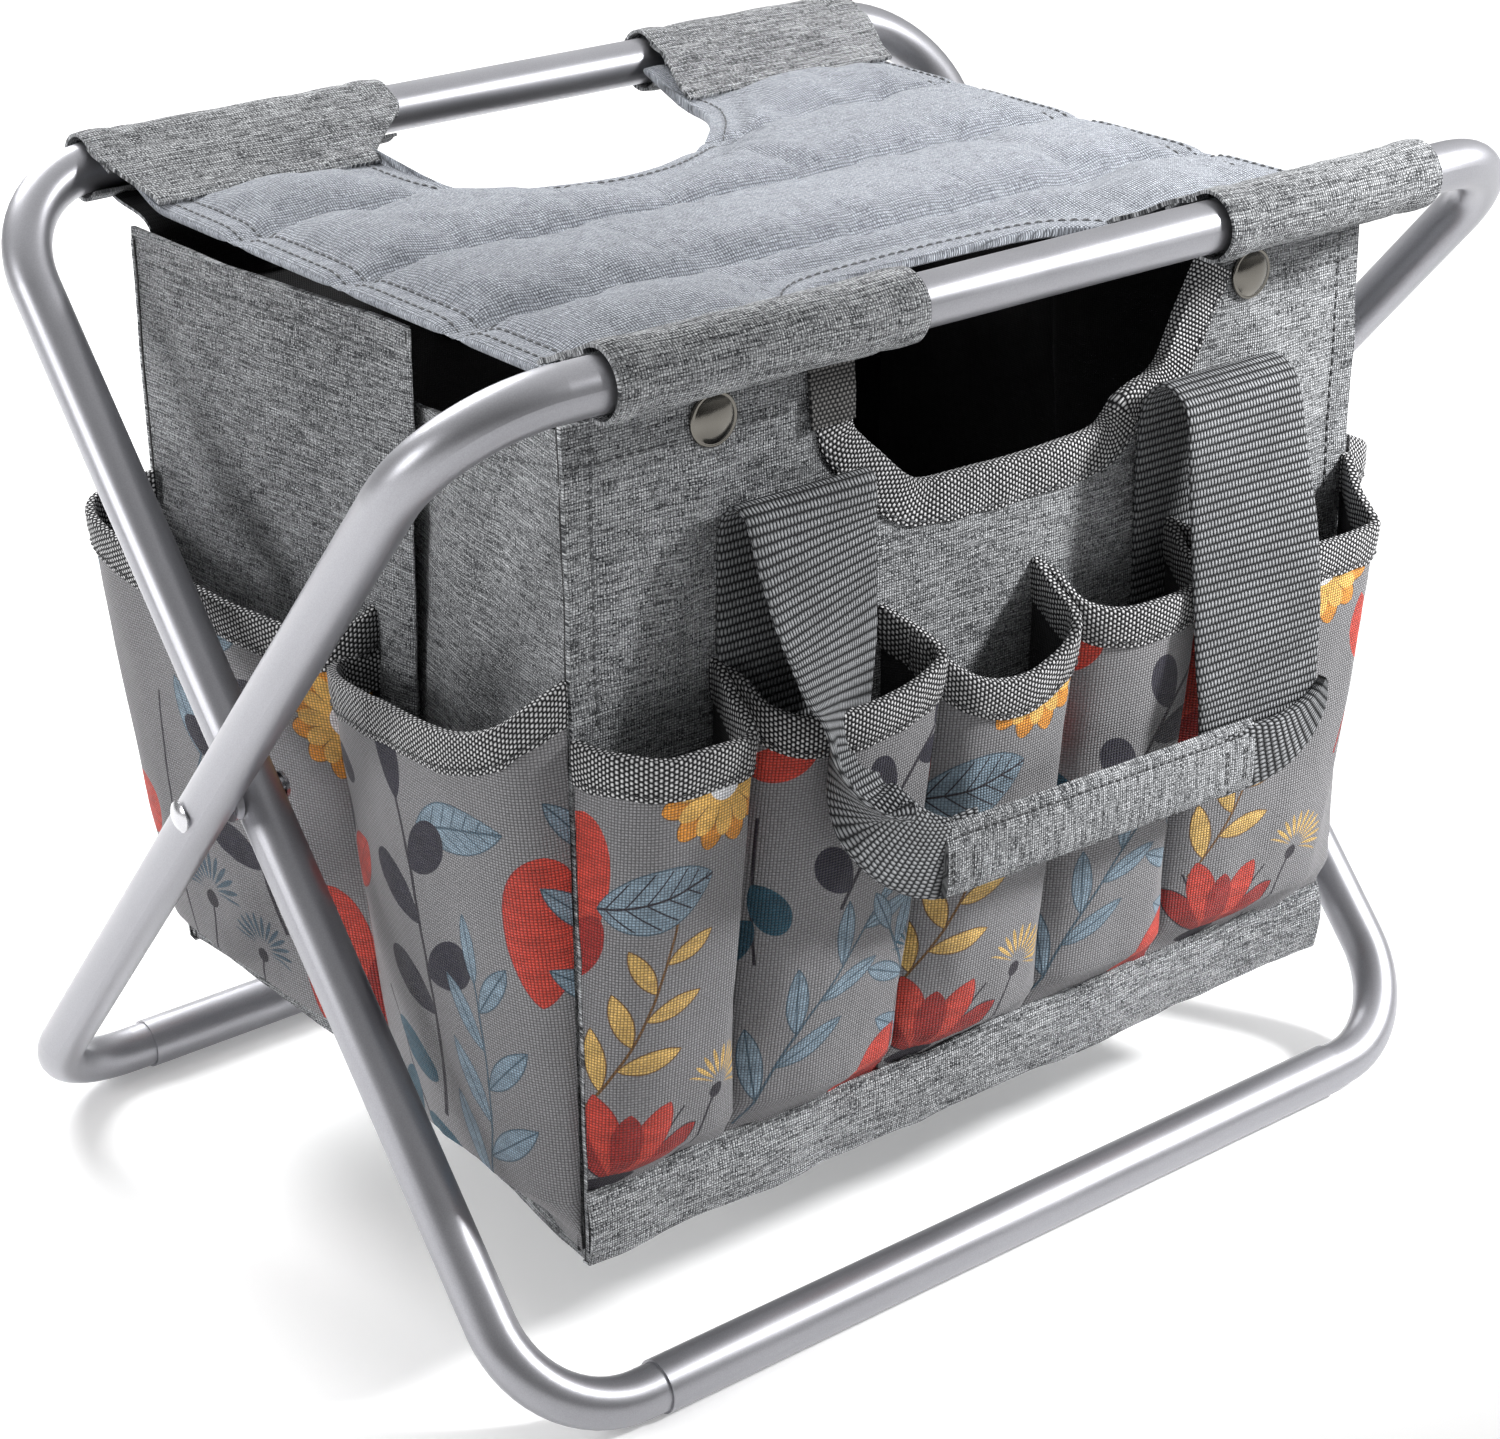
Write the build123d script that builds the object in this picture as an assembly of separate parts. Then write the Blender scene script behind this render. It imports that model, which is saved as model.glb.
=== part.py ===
"""Folding stool with a hanging garden tool bag.

Millimetres. +X runs along the seat rails, +Y points to the rear and +Z up. The origin is on the
ground under the middle of the stool. Two tube hoops cross at a riveted pivot: the wider hoop holds
the front seat rail and the rear floor bar, and the narrower one the rear seat rail and the front
floor bar. A padded seat is slung between the rails, and a soft bag hangs from them under the seat.
"""

import math
import os

from build123d import *

# ---------------------------------------------------------------- driving dimensions: frame
TUBE_R = 8.0
TUBE_WALL = 1.1
FLOOR_BAR_R = 8.75
RAIL_Y = 141.0
RAIL_Z = 331.0
OUTER_HALF = 210.0
INNER_HALF = 191.4
BEND_R = 37.0
BEND_TO_STEP = 6.0
PLUG_DEPTH = 25.0
RIVET_R = 3.0
RIVET_HEAD_R = 5.0
RIVET_DOME = 2.2
RIVET_RIM = 0.6
RUNNING_GAP = 0.05

# ---------------------------------------------------------------- driving dimensions: seat
SLEEVE_R = 9.6
SLEEVE_INNER = 60.0
SLEEVE_OUTER = 160.0
SEAT_HALF = 152.0
SEAT_FLAT_Y = 118.0
SEAT_TOP = 327.0
SEAT_THICK = 8.5
SEAT_SKIN = 1.2
REAR_HAND_HOLE = (65.0, 56.0, 34.0)    # half width, y of its inner edge, corner radius
FRONT_HAND_HOLE = (60.0, 92.0, 24.0)

# ---------------------------------------------------------------- driving dimensions: bag
FRONT_PANEL_Y = 120.0
REAR_PANEL_Y = 114.0
BAG_HALF = 158.0
BAG_LOW = 47.0
BAG_TOP = 313.0
PANEL_THICK = 2.4
LINING_THICK = 0.8
GUSSET_THICK = 2.0
GUSSET_FOLD_X = 140.0
GUSSET_FOLD_Y = -4.0
GUSSET_TOP = 309.0
CUTOUT = [(-80, 330), (-71, 290), (-47, 266), (47, 266), (71, 290), (80, 330)]
CUTOUT_CORNER_R = 13.0
BINDING_WIDTH = 11.0
BAND_TOP = 70.0
SEAM_GAP = 0.3

# ---------------------------------------------------------------- driving dimensions: pockets
POCKETS_PER_PANEL = 5
POCKET_LOW = 72.0
POCKET_TOP = 217.0
POCKET_WALL = 1.5
POCKET_BULGE = (8.0, 26.0)             # how far a pocket stands out at its floor and its mouth
SIDE_POCKET_LOW = 52.0
SIDE_POCKET_TOP = 219.0
SIDE_POCKET_BULGE = (12.0, 27.0)
MOUTH_BINDING = 12.5
BINDING_THICK = 0.9

# ---------------------------------------------------------------- driving dimensions: handle
WEB_WIDTH = 50.0
WEB_THICK = 1.8
STRAP_X = 83.0
STRAP_LIFT = BINDING_THICK + 0.1       # the sewn strap clears the binding's thickness
STRAP_ARCH_Z = 281.0
STRAP_END_Z = 186.0
STRAP_LEAN = 8.0
STRAP_BEND_R = 11.0
STRAP_BEND_DROP = 13.0                 # from the corner of the bend to the hinge line
HINGE_GAP = 0.4                        # the hinge line is 1.1 outside the strap's middle, just off its face
ANCHOR_LOW = 110.0
GRIP_Y = 156.0
GRIP_X = (-45.0, 82.0)
GRIP_Z = (147.0, 172.0)
GRIP_THICK = 5.0

# ---------------------------------------------------------------- driving dimensions: snaps
SNAP_X = 107.0
SNAP_Z = 304.5
SNAP_R = 7.8
SNAP_DOME = 2.4
SNAP_RIM = 0.6

PIVOT_Z = (RAIL_Z + FLOOR_BAR_R) / 2
LEG_HALF = math.hypot(RAIL_Y, RAIL_Z - PIVOT_Z)
FRONT, REAR = -1, 1


# ---------------------------------------------------------------- helpers
def write(name, shape):
    """Writes one node."""
    export_step(shape, f"parts/{name}.step")


def ring_along_x(x0, x1, y, z, outer, inner):
    """A round bar or tube parallel to X from x0 to x1."""
    section = Circle(outer)
    if inner > 0:
        section = section - Circle(inner)
    return extrude(Plane(origin=(x0, y, z), z_dir=(1, 0, 0)) * section, x1 - x0)


def upright(section, y0, y1):
    """Stands an XZ outline up as a plate between y0 and y1."""
    return extrude(Plane(origin=(0, y1, 0), x_dir=(1, 0, 0), z_dir=(0, -1, 0)) * section, y1 - y0)


def along_x(section, x0, x1):
    """Carries a YZ outline along X."""
    plane = Plane(origin=(x0, 0, 0), x_dir=(0, 1, 0), z_dir=(1, 0, 0))
    return extrude(plane * section, x1 - x0)


def flat(section, z0, z1):
    """Lays an XY outline down as a plate between z0 and z1."""
    return extrude(Plane(origin=(0, 0, z0)) * section, z1 - z0)


def outline(points):
    """A filled polygon."""
    return make_face(Polyline(*points, close=True))


def place(shape, side):
    """Front pieces stay, rear ones are the mirror image across the middle of the stool."""
    return shape if side == FRONT else mirror(shape, about=Plane.XZ)


def both_ends(shape):
    """The piece and its mirror image across the left-right middle."""
    return Compound(children=[shape, mirror(shape, about=Plane.YZ)])


# ---------------------------------------------------------------- frame
def hoop(half_width, rail_side, hole_r):
    """A bent tube: seat rail, two legs and the ends that plug into the floor bar."""
    leg = Vector(0, rail_side * RAIL_Y, RAIL_Z - PIVOT_Z).normalized()
    plane = Plane(origin=(0, 0, PIVOT_Z), x_dir=(1, 0, 0), z_dir=Vector(1, 0, 0).cross(leg))
    tip = half_width - BEND_R - BEND_TO_STEP - PLUG_DEPTH
    corners = [(-tip, -LEG_HALF), (-half_width, -LEG_HALF), (-half_width, LEG_HALF),
               (half_width, LEG_HALF), (half_width, -LEG_HALF), (tip, -LEG_HALF)]
    path = plane * FilletPolyline(*corners, radius=BEND_R)
    ring = Circle(TUBE_R) - Circle(TUBE_R - TUBE_WALL)
    tube = sweep(Plane(origin=path @ 0, z_dir=path % 0) * ring, path=path)
    return tube - ring_along_x(-half_width - 20, half_width + 20, 0, PIVOT_Z, hole_r, 0)


def floor_bar(half_width, y):
    """The thicker straight tube that both ends of a hoop plug into."""
    half = half_width - BEND_R - BEND_TO_STEP
    return ring_along_x(-half, half, y, FLOOR_BAR_R, FLOOR_BAR_R, TUBE_R)


def dome(radius, height, rim):
    """A shallow round cap that stands on Z = 0."""
    ball_r = (radius ** 2 + height ** 2) / (2 * height)
    ball = Pos(0, 0, rim + height - ball_r) * Sphere(ball_r)
    return ball & Pos(0, 0, (rim + height) / 2) * Cylinder(radius, rim + height)


def rivet():
    """Left pivot rivet: domed head outside, shank through both legs, clinched end inside."""
    length = (OUTER_HALF + TUBE_R) - (INNER_HALF - TUBE_R - 0.1)
    shank = Pos(0, 0, -length / 2) * Cylinder(RIVET_R, length)
    clinch = Pos(0, 0, -length - RIVET_RIM) * Cylinder(RIVET_HEAD_R - 0.6, 2 * RIVET_RIM)
    solid = shank + clinch + dome(RIVET_HEAD_R, RIVET_DOME - RIVET_RIM, RIVET_RIM)
    return Plane(origin=(-OUTER_HALF - TUBE_R, 0, PIVOT_Z), z_dir=(-1, 0, 0)) * solid


def frame():
    """Everything made of metal except the snaps."""
    write("outer_hoop", hoop(OUTER_HALF, FRONT, RIVET_R))
    write("outer_floor_bar", floor_bar(OUTER_HALF, RAIL_Y))
    write("inner_hoop", hoop(INNER_HALF, REAR, RIVET_R + RUNNING_GAP))
    write("inner_floor_bar", floor_bar(INNER_HALF, -RAIL_Y))
    spacer_x = INNER_HALF + TUBE_R + 0.1
    spacer = ring_along_x(-(OUTER_HALF - TUBE_R), -spacer_x, 0, PIVOT_Z, 6.5, RIVET_R + 0.1)
    for name, turn in (("left", 1), ("right", -1)):
        write(f"pivot_rivet_{name}", rivet() if turn > 0 else mirror(rivet(), about=Plane.YZ))
        write(f"pivot_spacer_{name}", spacer if turn > 0 else mirror(spacer, about=Plane.YZ))


# ---------------------------------------------------------------- seat
def hand_hole(size, grow):
    """The D-shaped opening between the seat's padding and a bare rail, seen from above."""
    half_width, inner_y, corner = size
    box = Pos(0, (inner_y - grow + RAIL_Y + 20) / 2) * Rectangle(
        2 * (half_width + grow), RAIL_Y + 20 - inner_y + grow)
    inner = [v for v in box.vertices() if v.Y < inner_y + 1]
    return fillet(inner, corner)


def hand_holes(grow):
    """Both hand openings as one tall cutter."""
    front = mirror(hand_hole(FRONT_HAND_HOLE, grow), about=Plane.XZ)
    tall = [flat(face, SEAT_TOP - 30, SEAT_TOP + 30) for face in (front, hand_hole(REAR_HAND_HOLE, grow))]
    return tall[0] + tall[1]


def seat():
    """A padded cover slung between the rails, and the four sleeves that hold it on them."""
    low = SEAT_TOP - SEAT_THICK
    web_y = RAIL_Y - SLEEVE_R - 0.8
    right_edge = [(web_y, RAIL_Z - 3), (SEAT_FLAT_Y, low), (-SEAT_FLAT_Y, low), (-web_y, RAIL_Z - 3),
                  (-web_y, RAIL_Z + 1), (-SEAT_FLAT_Y, SEAT_TOP), (SEAT_FLAT_Y, SEAT_TOP),
                  (web_y, RAIL_Z + 1)]
    body = along_x(outline(right_edge), -SEAT_HALF, SEAT_HALF) - hand_holes(0)
    pad_y = SEAT_FLAT_Y - 3
    core = outline([(-pad_y, low + SEAT_SKIN), (pad_y, low + SEAT_SKIN), (pad_y, SEAT_TOP - SEAT_SKIN),
                    (-pad_y, SEAT_TOP - SEAT_SKIN)])
    hollow = along_x(core, -SEAT_HALF + 5, SEAT_HALF - 5) - hand_holes(5)
    padding = along_x(offset(core, -0.1), -SEAT_HALF + 5.1, SEAT_HALF - 5.1) - hand_holes(5.1)
    write("seat_cover", body - hollow)
    write("seat_padding", padding)
    for side, end in ((FRONT, "front"), (REAR, "rear")):
        sleeve = ring_along_x(SLEEVE_INNER, SLEEVE_OUTER, side * RAIL_Y, RAIL_Z, SLEEVE_R, TUBE_R)
        write(f"{end}_sleeve_right", sleeve)
        write(f"{end}_sleeve_left", mirror(sleeve, about=Plane.YZ))


# ---------------------------------------------------------------- bag panels
def strap_corner():
    """Where a strap turns down in front of a panel, and the direction it hangs in, drawn in YZ."""
    corner = Vector(-(GRIP_Y - STRAP_LEAN), STRAP_ARCH_Z)
    return corner, (Vector(-GRIP_Y, STRAP_END_Z) - corner).normalized()


def cutout(grow):
    """The opening in the top of a panel, drawn in XZ."""
    shape = outline(CUTOUT)
    low = [v for v in shape.vertices() if v.Y < CUTOUT[0][1] - 1]
    shape = fillet(low, CUTOUT_CORNER_R)
    return offset(shape, grow) if grow else shape


def panel_pieces(side, end, panel_y):
    """Panel, lining, edge binding, base band, hangers, snaps and sewn strap ends of one long side."""
    outer = -(panel_y + PANEL_THICK / 2)
    inner = outer + PANEL_THICK
    middle_z = (BAG_LOW + BAG_TOP) / 2
    sheet = Pos(0, middle_z) * Rectangle(2 * BAG_HALF, BAG_TOP - BAG_LOW)
    panel = upright(sheet - cutout(0), outer, inner)
    lining = upright(sheet - cutout(0), inner, inner + LINING_THICK)
    strip = (cutout(BINDING_WIDTH) - cutout(-BINDING_THICK)) & sheet
    binding = upright(strip, outer - BINDING_THICK, inner + LINING_THICK + BINDING_THICK) - panel - lining
    band_sheet = Pos(0, (BAG_LOW + BAND_TOP) / 2) * Rectangle(2 * BAG_HALF, BAND_TOP - BAG_LOW)
    band = upright(band_sheet, outer - BINDING_THICK, outer)
    back = inner + LINING_THICK + SEAM_GAP + 0.8
    route = Polyline((-(RAIL_Y - 6.6), RAIL_Z - 8.2), (back, BAG_TOP + 1.8), (back, BAG_TOP - 18))
    hanger = along_x(trace(route, 1.6), SLEEVE_INNER + 34, SLEEVE_OUTER - 8)
    corner, slope = strap_corner()
    rise_y = outer - STRAP_LIFT - WEB_THICK / 2
    rise = FilletPolyline((rise_y, ANCHOR_LOW), (rise_y, STRAP_ARCH_Z), corner,
                          corner + slope * (STRAP_BEND_DROP - HINGE_GAP), radius=STRAP_BEND_R)
    anchor = along_x(trace(rise, WEB_THICK), STRAP_X - WEB_WIDTH / 2, STRAP_X + WEB_WIDTH / 2)
    cap = Plane(origin=(SNAP_X, outer, SNAP_Z), z_dir=(0, -1, 0)) * dome(SNAP_R, SNAP_DOME, SNAP_RIM)
    socket_plane = Plane(origin=(SNAP_X, back + 0.9, SNAP_Z), z_dir=(0, 1, 0))
    socket = extrude(socket_plane * Circle(6.0), 2.2)
    write(f"{end}_panel", place(panel, side))
    write(f"{end}_lining", place(lining, side))
    write(f"{end}_cutout_binding", place(binding, side))
    write(f"{end}_base_band", place(band, side))
    write(f"{end}_hangers", place(both_ends(hanger), side))
    write(f"{end}_strap_anchors", place(both_ends(anchor), side))
    write(f"{end}_snap_caps", place(both_ends(cap), side))
    write(f"{end}_snap_sockets", place(both_ends(socket), side))


def bag_sides_and_bottom():
    """Two side gussets, each folded inwards along its middle, and the bottom between the panels."""
    front_y = -(FRONT_PANEL_Y - PANEL_THICK / 2 - LINING_THICK - SEAM_GAP)
    rear_y = REAR_PANEL_Y - PANEL_THICK / 2 - LINING_THICK - SEAM_GAP - 0.2
    fold = (-GUSSET_FOLD_X, GUSSET_FOLD_Y)
    shift = GUSSET_THICK
    gusset = outline([(-BAG_HALF, front_y), fold, (-BAG_HALF, rear_y), (-BAG_HALF + shift, rear_y),
                      (-GUSSET_FOLD_X + shift, GUSSET_FOLD_Y), (-BAG_HALF + shift, front_y)])
    gusset = flat(gusset, BAG_LOW + 2.6, GUSSET_TOP)
    write("gusset_left", gusset)
    write("gusset_right", mirror(gusset, about=Plane.YZ))
    edge = BAG_HALF - 1
    bottom = outline([(-edge, front_y), (-GUSSET_FOLD_X, GUSSET_FOLD_Y), (-edge, rear_y), (edge, rear_y),
                      (GUSSET_FOLD_X, GUSSET_FOLD_Y), (edge, front_y)])
    write("bag_bottom", flat(bottom, BAG_LOW, BAG_LOW + 2.4))
    return front_y, rear_y


# ---------------------------------------------------------------- pockets
def arch(p0, p1, bulge, back, inset, z):
    """One level of a pocket: a bulging line between p0 and p1, closed behind its chord."""
    chord = (p1 - p0).normalized()
    out = Vector(chord.Y, -chord.X)
    start = p0 + chord * inset
    end = p1 - chord * inset
    peak = (start + end) * 0.5 + out * bulge
    lines = [ThreePointArc(start, peak, end)]
    if back > 0:
        lines.append(Polyline(end, end - out * back, start - out * back, start))
    else:
        lines.append(Line(end, start))
    return Plane(origin=(0, 0, z)) * make_face(lines[0] + lines[1])


def bulge_at(z, z0, z1, bulges):
    """How far a pocket stands out at one level."""
    return bulges[0] + (bulges[1] - bulges[0]) * (z - z0) / (z1 - z0)


def tapered(p0, p1, z0, z1, low, high, back, inset):
    """A solid between two levels of a pocket."""
    return loft([arch(p0, p1, low, back, inset, z0), arch(p0, p1, high, back, inset, z1)], ruled=True)


def pocket_and_binding(p0, p1, z0, z1, bulges):
    """A pocket with an open mouth, and the binding folded over its edge.

    The pocket is a bulging wall with a floor, and its back is the panel or gusset it is sewn to."""
    p0, p1 = Vector(*p0), Vector(*p1)

    def at(z, more):
        return bulge_at(z, z0, z1, bulges) + more

    floor_z, over = z0 + POCKET_WALL, z1 + 2
    wall = tapered(p0, p1, z0, z1, at(z0, 0), at(z1, 0), 0, 0)
    wall -= tapered(p0, p1, floor_z, over, at(floor_z, -POCKET_WALL), at(over, -POCKET_WALL), 2, POCKET_WALL)
    low, top = z1 - MOUTH_BINDING, z1 + BINDING_THICK
    inset = POCKET_WALL + BINDING_THICK
    strip = tapered(p0, p1, low, top, at(low, BINDING_THICK), at(top, BINDING_THICK), 0, 0)
    strip -= tapered(p0, p1, low - 1, over, at(low - 1, -inset), at(over, -inset), 2, inset)
    return wall, strip - wall


def panel_pockets(side, end, panel_y):
    """The row of pockets on a long side."""
    face_y = -(panel_y + PANEL_THICK / 2 + STRAP_LIFT + WEB_THICK + 0.2)
    pitch = 2 * BAG_HALF / POCKETS_PER_PANEL
    strips = []
    for i in range(POCKETS_PER_PANEL):
        x0 = -BAG_HALF + i * pitch
        wall, strip = pocket_and_binding((x0 + SEAM_GAP, face_y), (x0 + pitch - SEAM_GAP, face_y),
                                         POCKET_LOW, POCKET_TOP, POCKET_BULGE)
        write(f"{end}_pocket_{i + 1}", place(wall, side))
        strips.append(place(strip, side))
    write(f"{end}_pocket_bindings", Compound(children=strips))


def side_pockets(front_y, rear_y):
    """Two pockets on each gusset, one on each side of its fold."""
    strips = []
    lift = SEAM_GAP + 0.2
    fold = (-GUSSET_FOLD_X - lift, GUSSET_FOLD_Y)
    spans = {"front": ((-BAG_HALF - lift, front_y), (fold[0] - 0.2, fold[1] - 1.0)),
             "rear": ((fold[0] - 0.2, fold[1] + 1.0), (-BAG_HALF - lift, rear_y))}
    for end, (p0, p1) in spans.items():
        wall, strip = pocket_and_binding(p1, p0, SIDE_POCKET_LOW, SIDE_POCKET_TOP, SIDE_POCKET_BULGE)
        write(f"left_{end}_pocket", wall)
        write(f"right_{end}_pocket", mirror(wall, about=Plane.YZ))
        strips.append(strip)
    write("left_pocket_bindings", Compound(children=strips))
    write("right_pocket_bindings", Compound(children=[mirror(s, about=Plane.YZ) for s in strips]))


# ---------------------------------------------------------------- handles
def handle(side, end):
    """Webbing that hangs from two strap bends and runs through a folded fabric grip."""
    corner, slope = strap_corner()
    top = corner + slope * (STRAP_BEND_DROP + HINGE_GAP)
    hanging = trace(Polyline((top.X, top.Y), (-GRIP_Y, STRAP_END_Z)), WEB_THICK)
    web = None
    for sign in (-1, 1):
        strap = along_x(hanging, sign * STRAP_X - WEB_WIDTH / 2, sign * STRAP_X + WEB_WIDTH / 2)
        web = strap if web is None else web + strap
    low, high = GRIP_Z
    left, right = GRIP_X
    edge_in, edge_out = STRAP_X - WEB_WIDTH / 2, STRAP_X + WEB_WIDTH / 2
    left_turn = outline([(-edge_out, STRAP_END_Z), (-edge_in, STRAP_END_Z), (left, high - 2), (left, low + 2),
                         (left - 22, low), (-edge_out, STRAP_END_Z - 22)])
    right_turn = outline([(edge_out, STRAP_END_Z), (edge_in, STRAP_END_Z), (edge_in, high - 2),
                          (right, high - 2), (right, low + 2), (right + 10, low + 4)])
    run = outline([(left, low + 2), (right, low + 2), (right, high - 2), (left, high - 2)])
    half = WEB_THICK / 2
    for piece in (left_turn, right_turn, run):
        web = web + upright(piece, -GRIP_Y - half, -GRIP_Y + half)
    cover = upright(outline([(left, low), (right, low), (right, high), (left, high)]),
                    -GRIP_Y - GRIP_THICK / 2, -GRIP_Y + GRIP_THICK / 2)
    grip = fillet(cover.edges().filter_by(Axis.X), 1.2) - web
    write(f"{end}_handle_webbing", place(web, side))
    write(f"{end}_handle_grip", place(grip, side))


# ---------------------------------------------------------------- all
os.makedirs("parts", exist_ok=True)
frame()
seat()
for bag_side, bag_end, bag_y in ((FRONT, "front", FRONT_PANEL_Y), (REAR, "rear", REAR_PANEL_Y)):
    panel_pieces(bag_side, bag_end, bag_y)
    panel_pockets(bag_side, bag_end, bag_y)
    handle(bag_side, bag_end)
side_pockets(*bag_sides_and_bottom())
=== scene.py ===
"""Looks of the folding stool and its garden tool bag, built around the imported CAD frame.

Shapes are worked out in millimetres and written to the meshes in metres. +X runs along the seat
rails, -Y is the front and +Z is up. Every cloth piece is a closed skin with a UV map in metres of
flat cloth, so that weave, print and stitches keep their real size.
"""

import math

import bmesh
import bpy
import numpy as np
from mathutils import Matrix, Vector
from mathutils.bvhtree import BVHTree


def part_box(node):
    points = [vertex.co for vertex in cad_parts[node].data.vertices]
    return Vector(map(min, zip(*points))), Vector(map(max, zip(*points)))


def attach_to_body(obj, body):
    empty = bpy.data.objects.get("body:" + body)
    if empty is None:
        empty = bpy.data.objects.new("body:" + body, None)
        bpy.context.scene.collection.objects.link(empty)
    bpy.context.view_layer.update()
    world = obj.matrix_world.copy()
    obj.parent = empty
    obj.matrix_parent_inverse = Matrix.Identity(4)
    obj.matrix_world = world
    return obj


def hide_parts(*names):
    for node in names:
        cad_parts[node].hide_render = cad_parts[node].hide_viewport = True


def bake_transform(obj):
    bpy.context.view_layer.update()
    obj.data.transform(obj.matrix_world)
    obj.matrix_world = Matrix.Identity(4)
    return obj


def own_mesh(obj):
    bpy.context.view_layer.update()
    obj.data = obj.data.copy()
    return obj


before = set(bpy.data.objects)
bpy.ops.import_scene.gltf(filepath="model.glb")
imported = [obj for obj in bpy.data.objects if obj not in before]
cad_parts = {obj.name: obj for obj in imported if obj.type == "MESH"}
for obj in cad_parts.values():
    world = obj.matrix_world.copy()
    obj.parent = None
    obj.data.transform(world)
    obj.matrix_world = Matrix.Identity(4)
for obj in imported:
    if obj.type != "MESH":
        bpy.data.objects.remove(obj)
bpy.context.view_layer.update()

MM = 0.001
FRONT, REAR = -1, 1
END = {FRONT: "front", REAR: "rear"}


def cad(node):
    """Lowest and highest corner of a CAD node, in millimetres."""
    low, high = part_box(node)
    return np.array(low) / MM, np.array(high) / MM


# ------------------------------------------------------------------ places read from the frame
SLEEVE_LOW, SLEEVE_HIGH = cad("front_sleeve_right")
RAIL_Y = -(SLEEVE_LOW[1] + SLEEVE_HIGH[1]) / 2
RAIL_Z = (SLEEVE_LOW[2] + SLEEVE_HIGH[2]) / 2
SLEEVE_R = (SLEEVE_HIGH[2] - SLEEVE_LOW[2]) / 2
SLEEVE_OUTER = SLEEVE_HIGH[0]
SEAT_HIGH = cad("seat_padding")[1]
SEAT_HALF = cad("seat_cover")[1][0]
SEAT_TOP = SEAT_HIGH[2] + 1.0
PANEL_LOW, PANEL_HIGH = cad("front_panel")
BAG_HALF, BAG_LOW, BAG_TOP = PANEL_HIGH[0], PANEL_LOW[2], PANEL_HIGH[2]
PANEL_FACE = {FRONT: -PANEL_LOW[1], REAR: cad("rear_panel")[1][1]}
PANEL_THICK = 1.5
LINING_THICK = 0.7
BAND_TOP = cad("front_base_band")[1][2]
POCKET_LOW, POCKET_TOP = cad("front_pocket_1")[0][2], cad("front_pocket_1")[1][2]
POCKET_FACE = {FRONT: -cad("front_pocket_1")[1][1], REAR: cad("rear_pocket_1")[0][1]}
SIDE_LOW, SIDE_TOP = cad("left_front_pocket")[0][2], cad("left_front_pocket")[1][2]
GUSSET_LOW, GUSSET_HIGH = cad("gusset_left")
FOLD_X = -(GUSSET_HIGH[0] - 2.0)
FOLD_Y = -4.0
GRIP_LOW, GRIP_HIGH = cad("front_handle_grip")
GRIP_Y = -(GRIP_LOW[1] + GRIP_HIGH[1]) / 2
ANCHOR_HIGH = cad("front_strap_anchors")[1]
STRAP_X = ANCHOR_HIGH[0] - 25.0
ARCH_Z = ANCHOR_HIGH[2]
SNAP_LOW, SNAP_HIGH = cad("front_snap_caps")
SNAP_Z = (SNAP_LOW[2] + SNAP_HIGH[2]) / 2
SNAP_R = (SNAP_HIGH[2] - SNAP_LOW[2]) / 2
SNAP_X = SNAP_HIGH[0] - SNAP_R
REAR_RAISE = 14.0
WEB_THICK = 1.8


# ------------------------------------------------------------------ camera
def camera():
    """The photograph's viewpoint."""
    data = bpy.data.cameras.new("camera")
    data.sensor_width = 36
    data.lens = 78.98
    data.clip_end = 50
    obj = bpy.data.objects.new("camera", data)
    bpy.context.scene.collection.objects.link(obj)
    right = Vector((0.782621, -0.622433, -0.009090))
    up = Vector((0.265420, 0.320449, 0.909321))
    forward = Vector((0.563078, 0.714066, -0.415996))
    place = Matrix((right, up, -forward)).transposed().to_4x4()
    place.translation = Vector((-0.6351, -0.8070, 0.6083))
    obj.matrix_world = place
    bpy.context.scene.camera = obj


camera()


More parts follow.
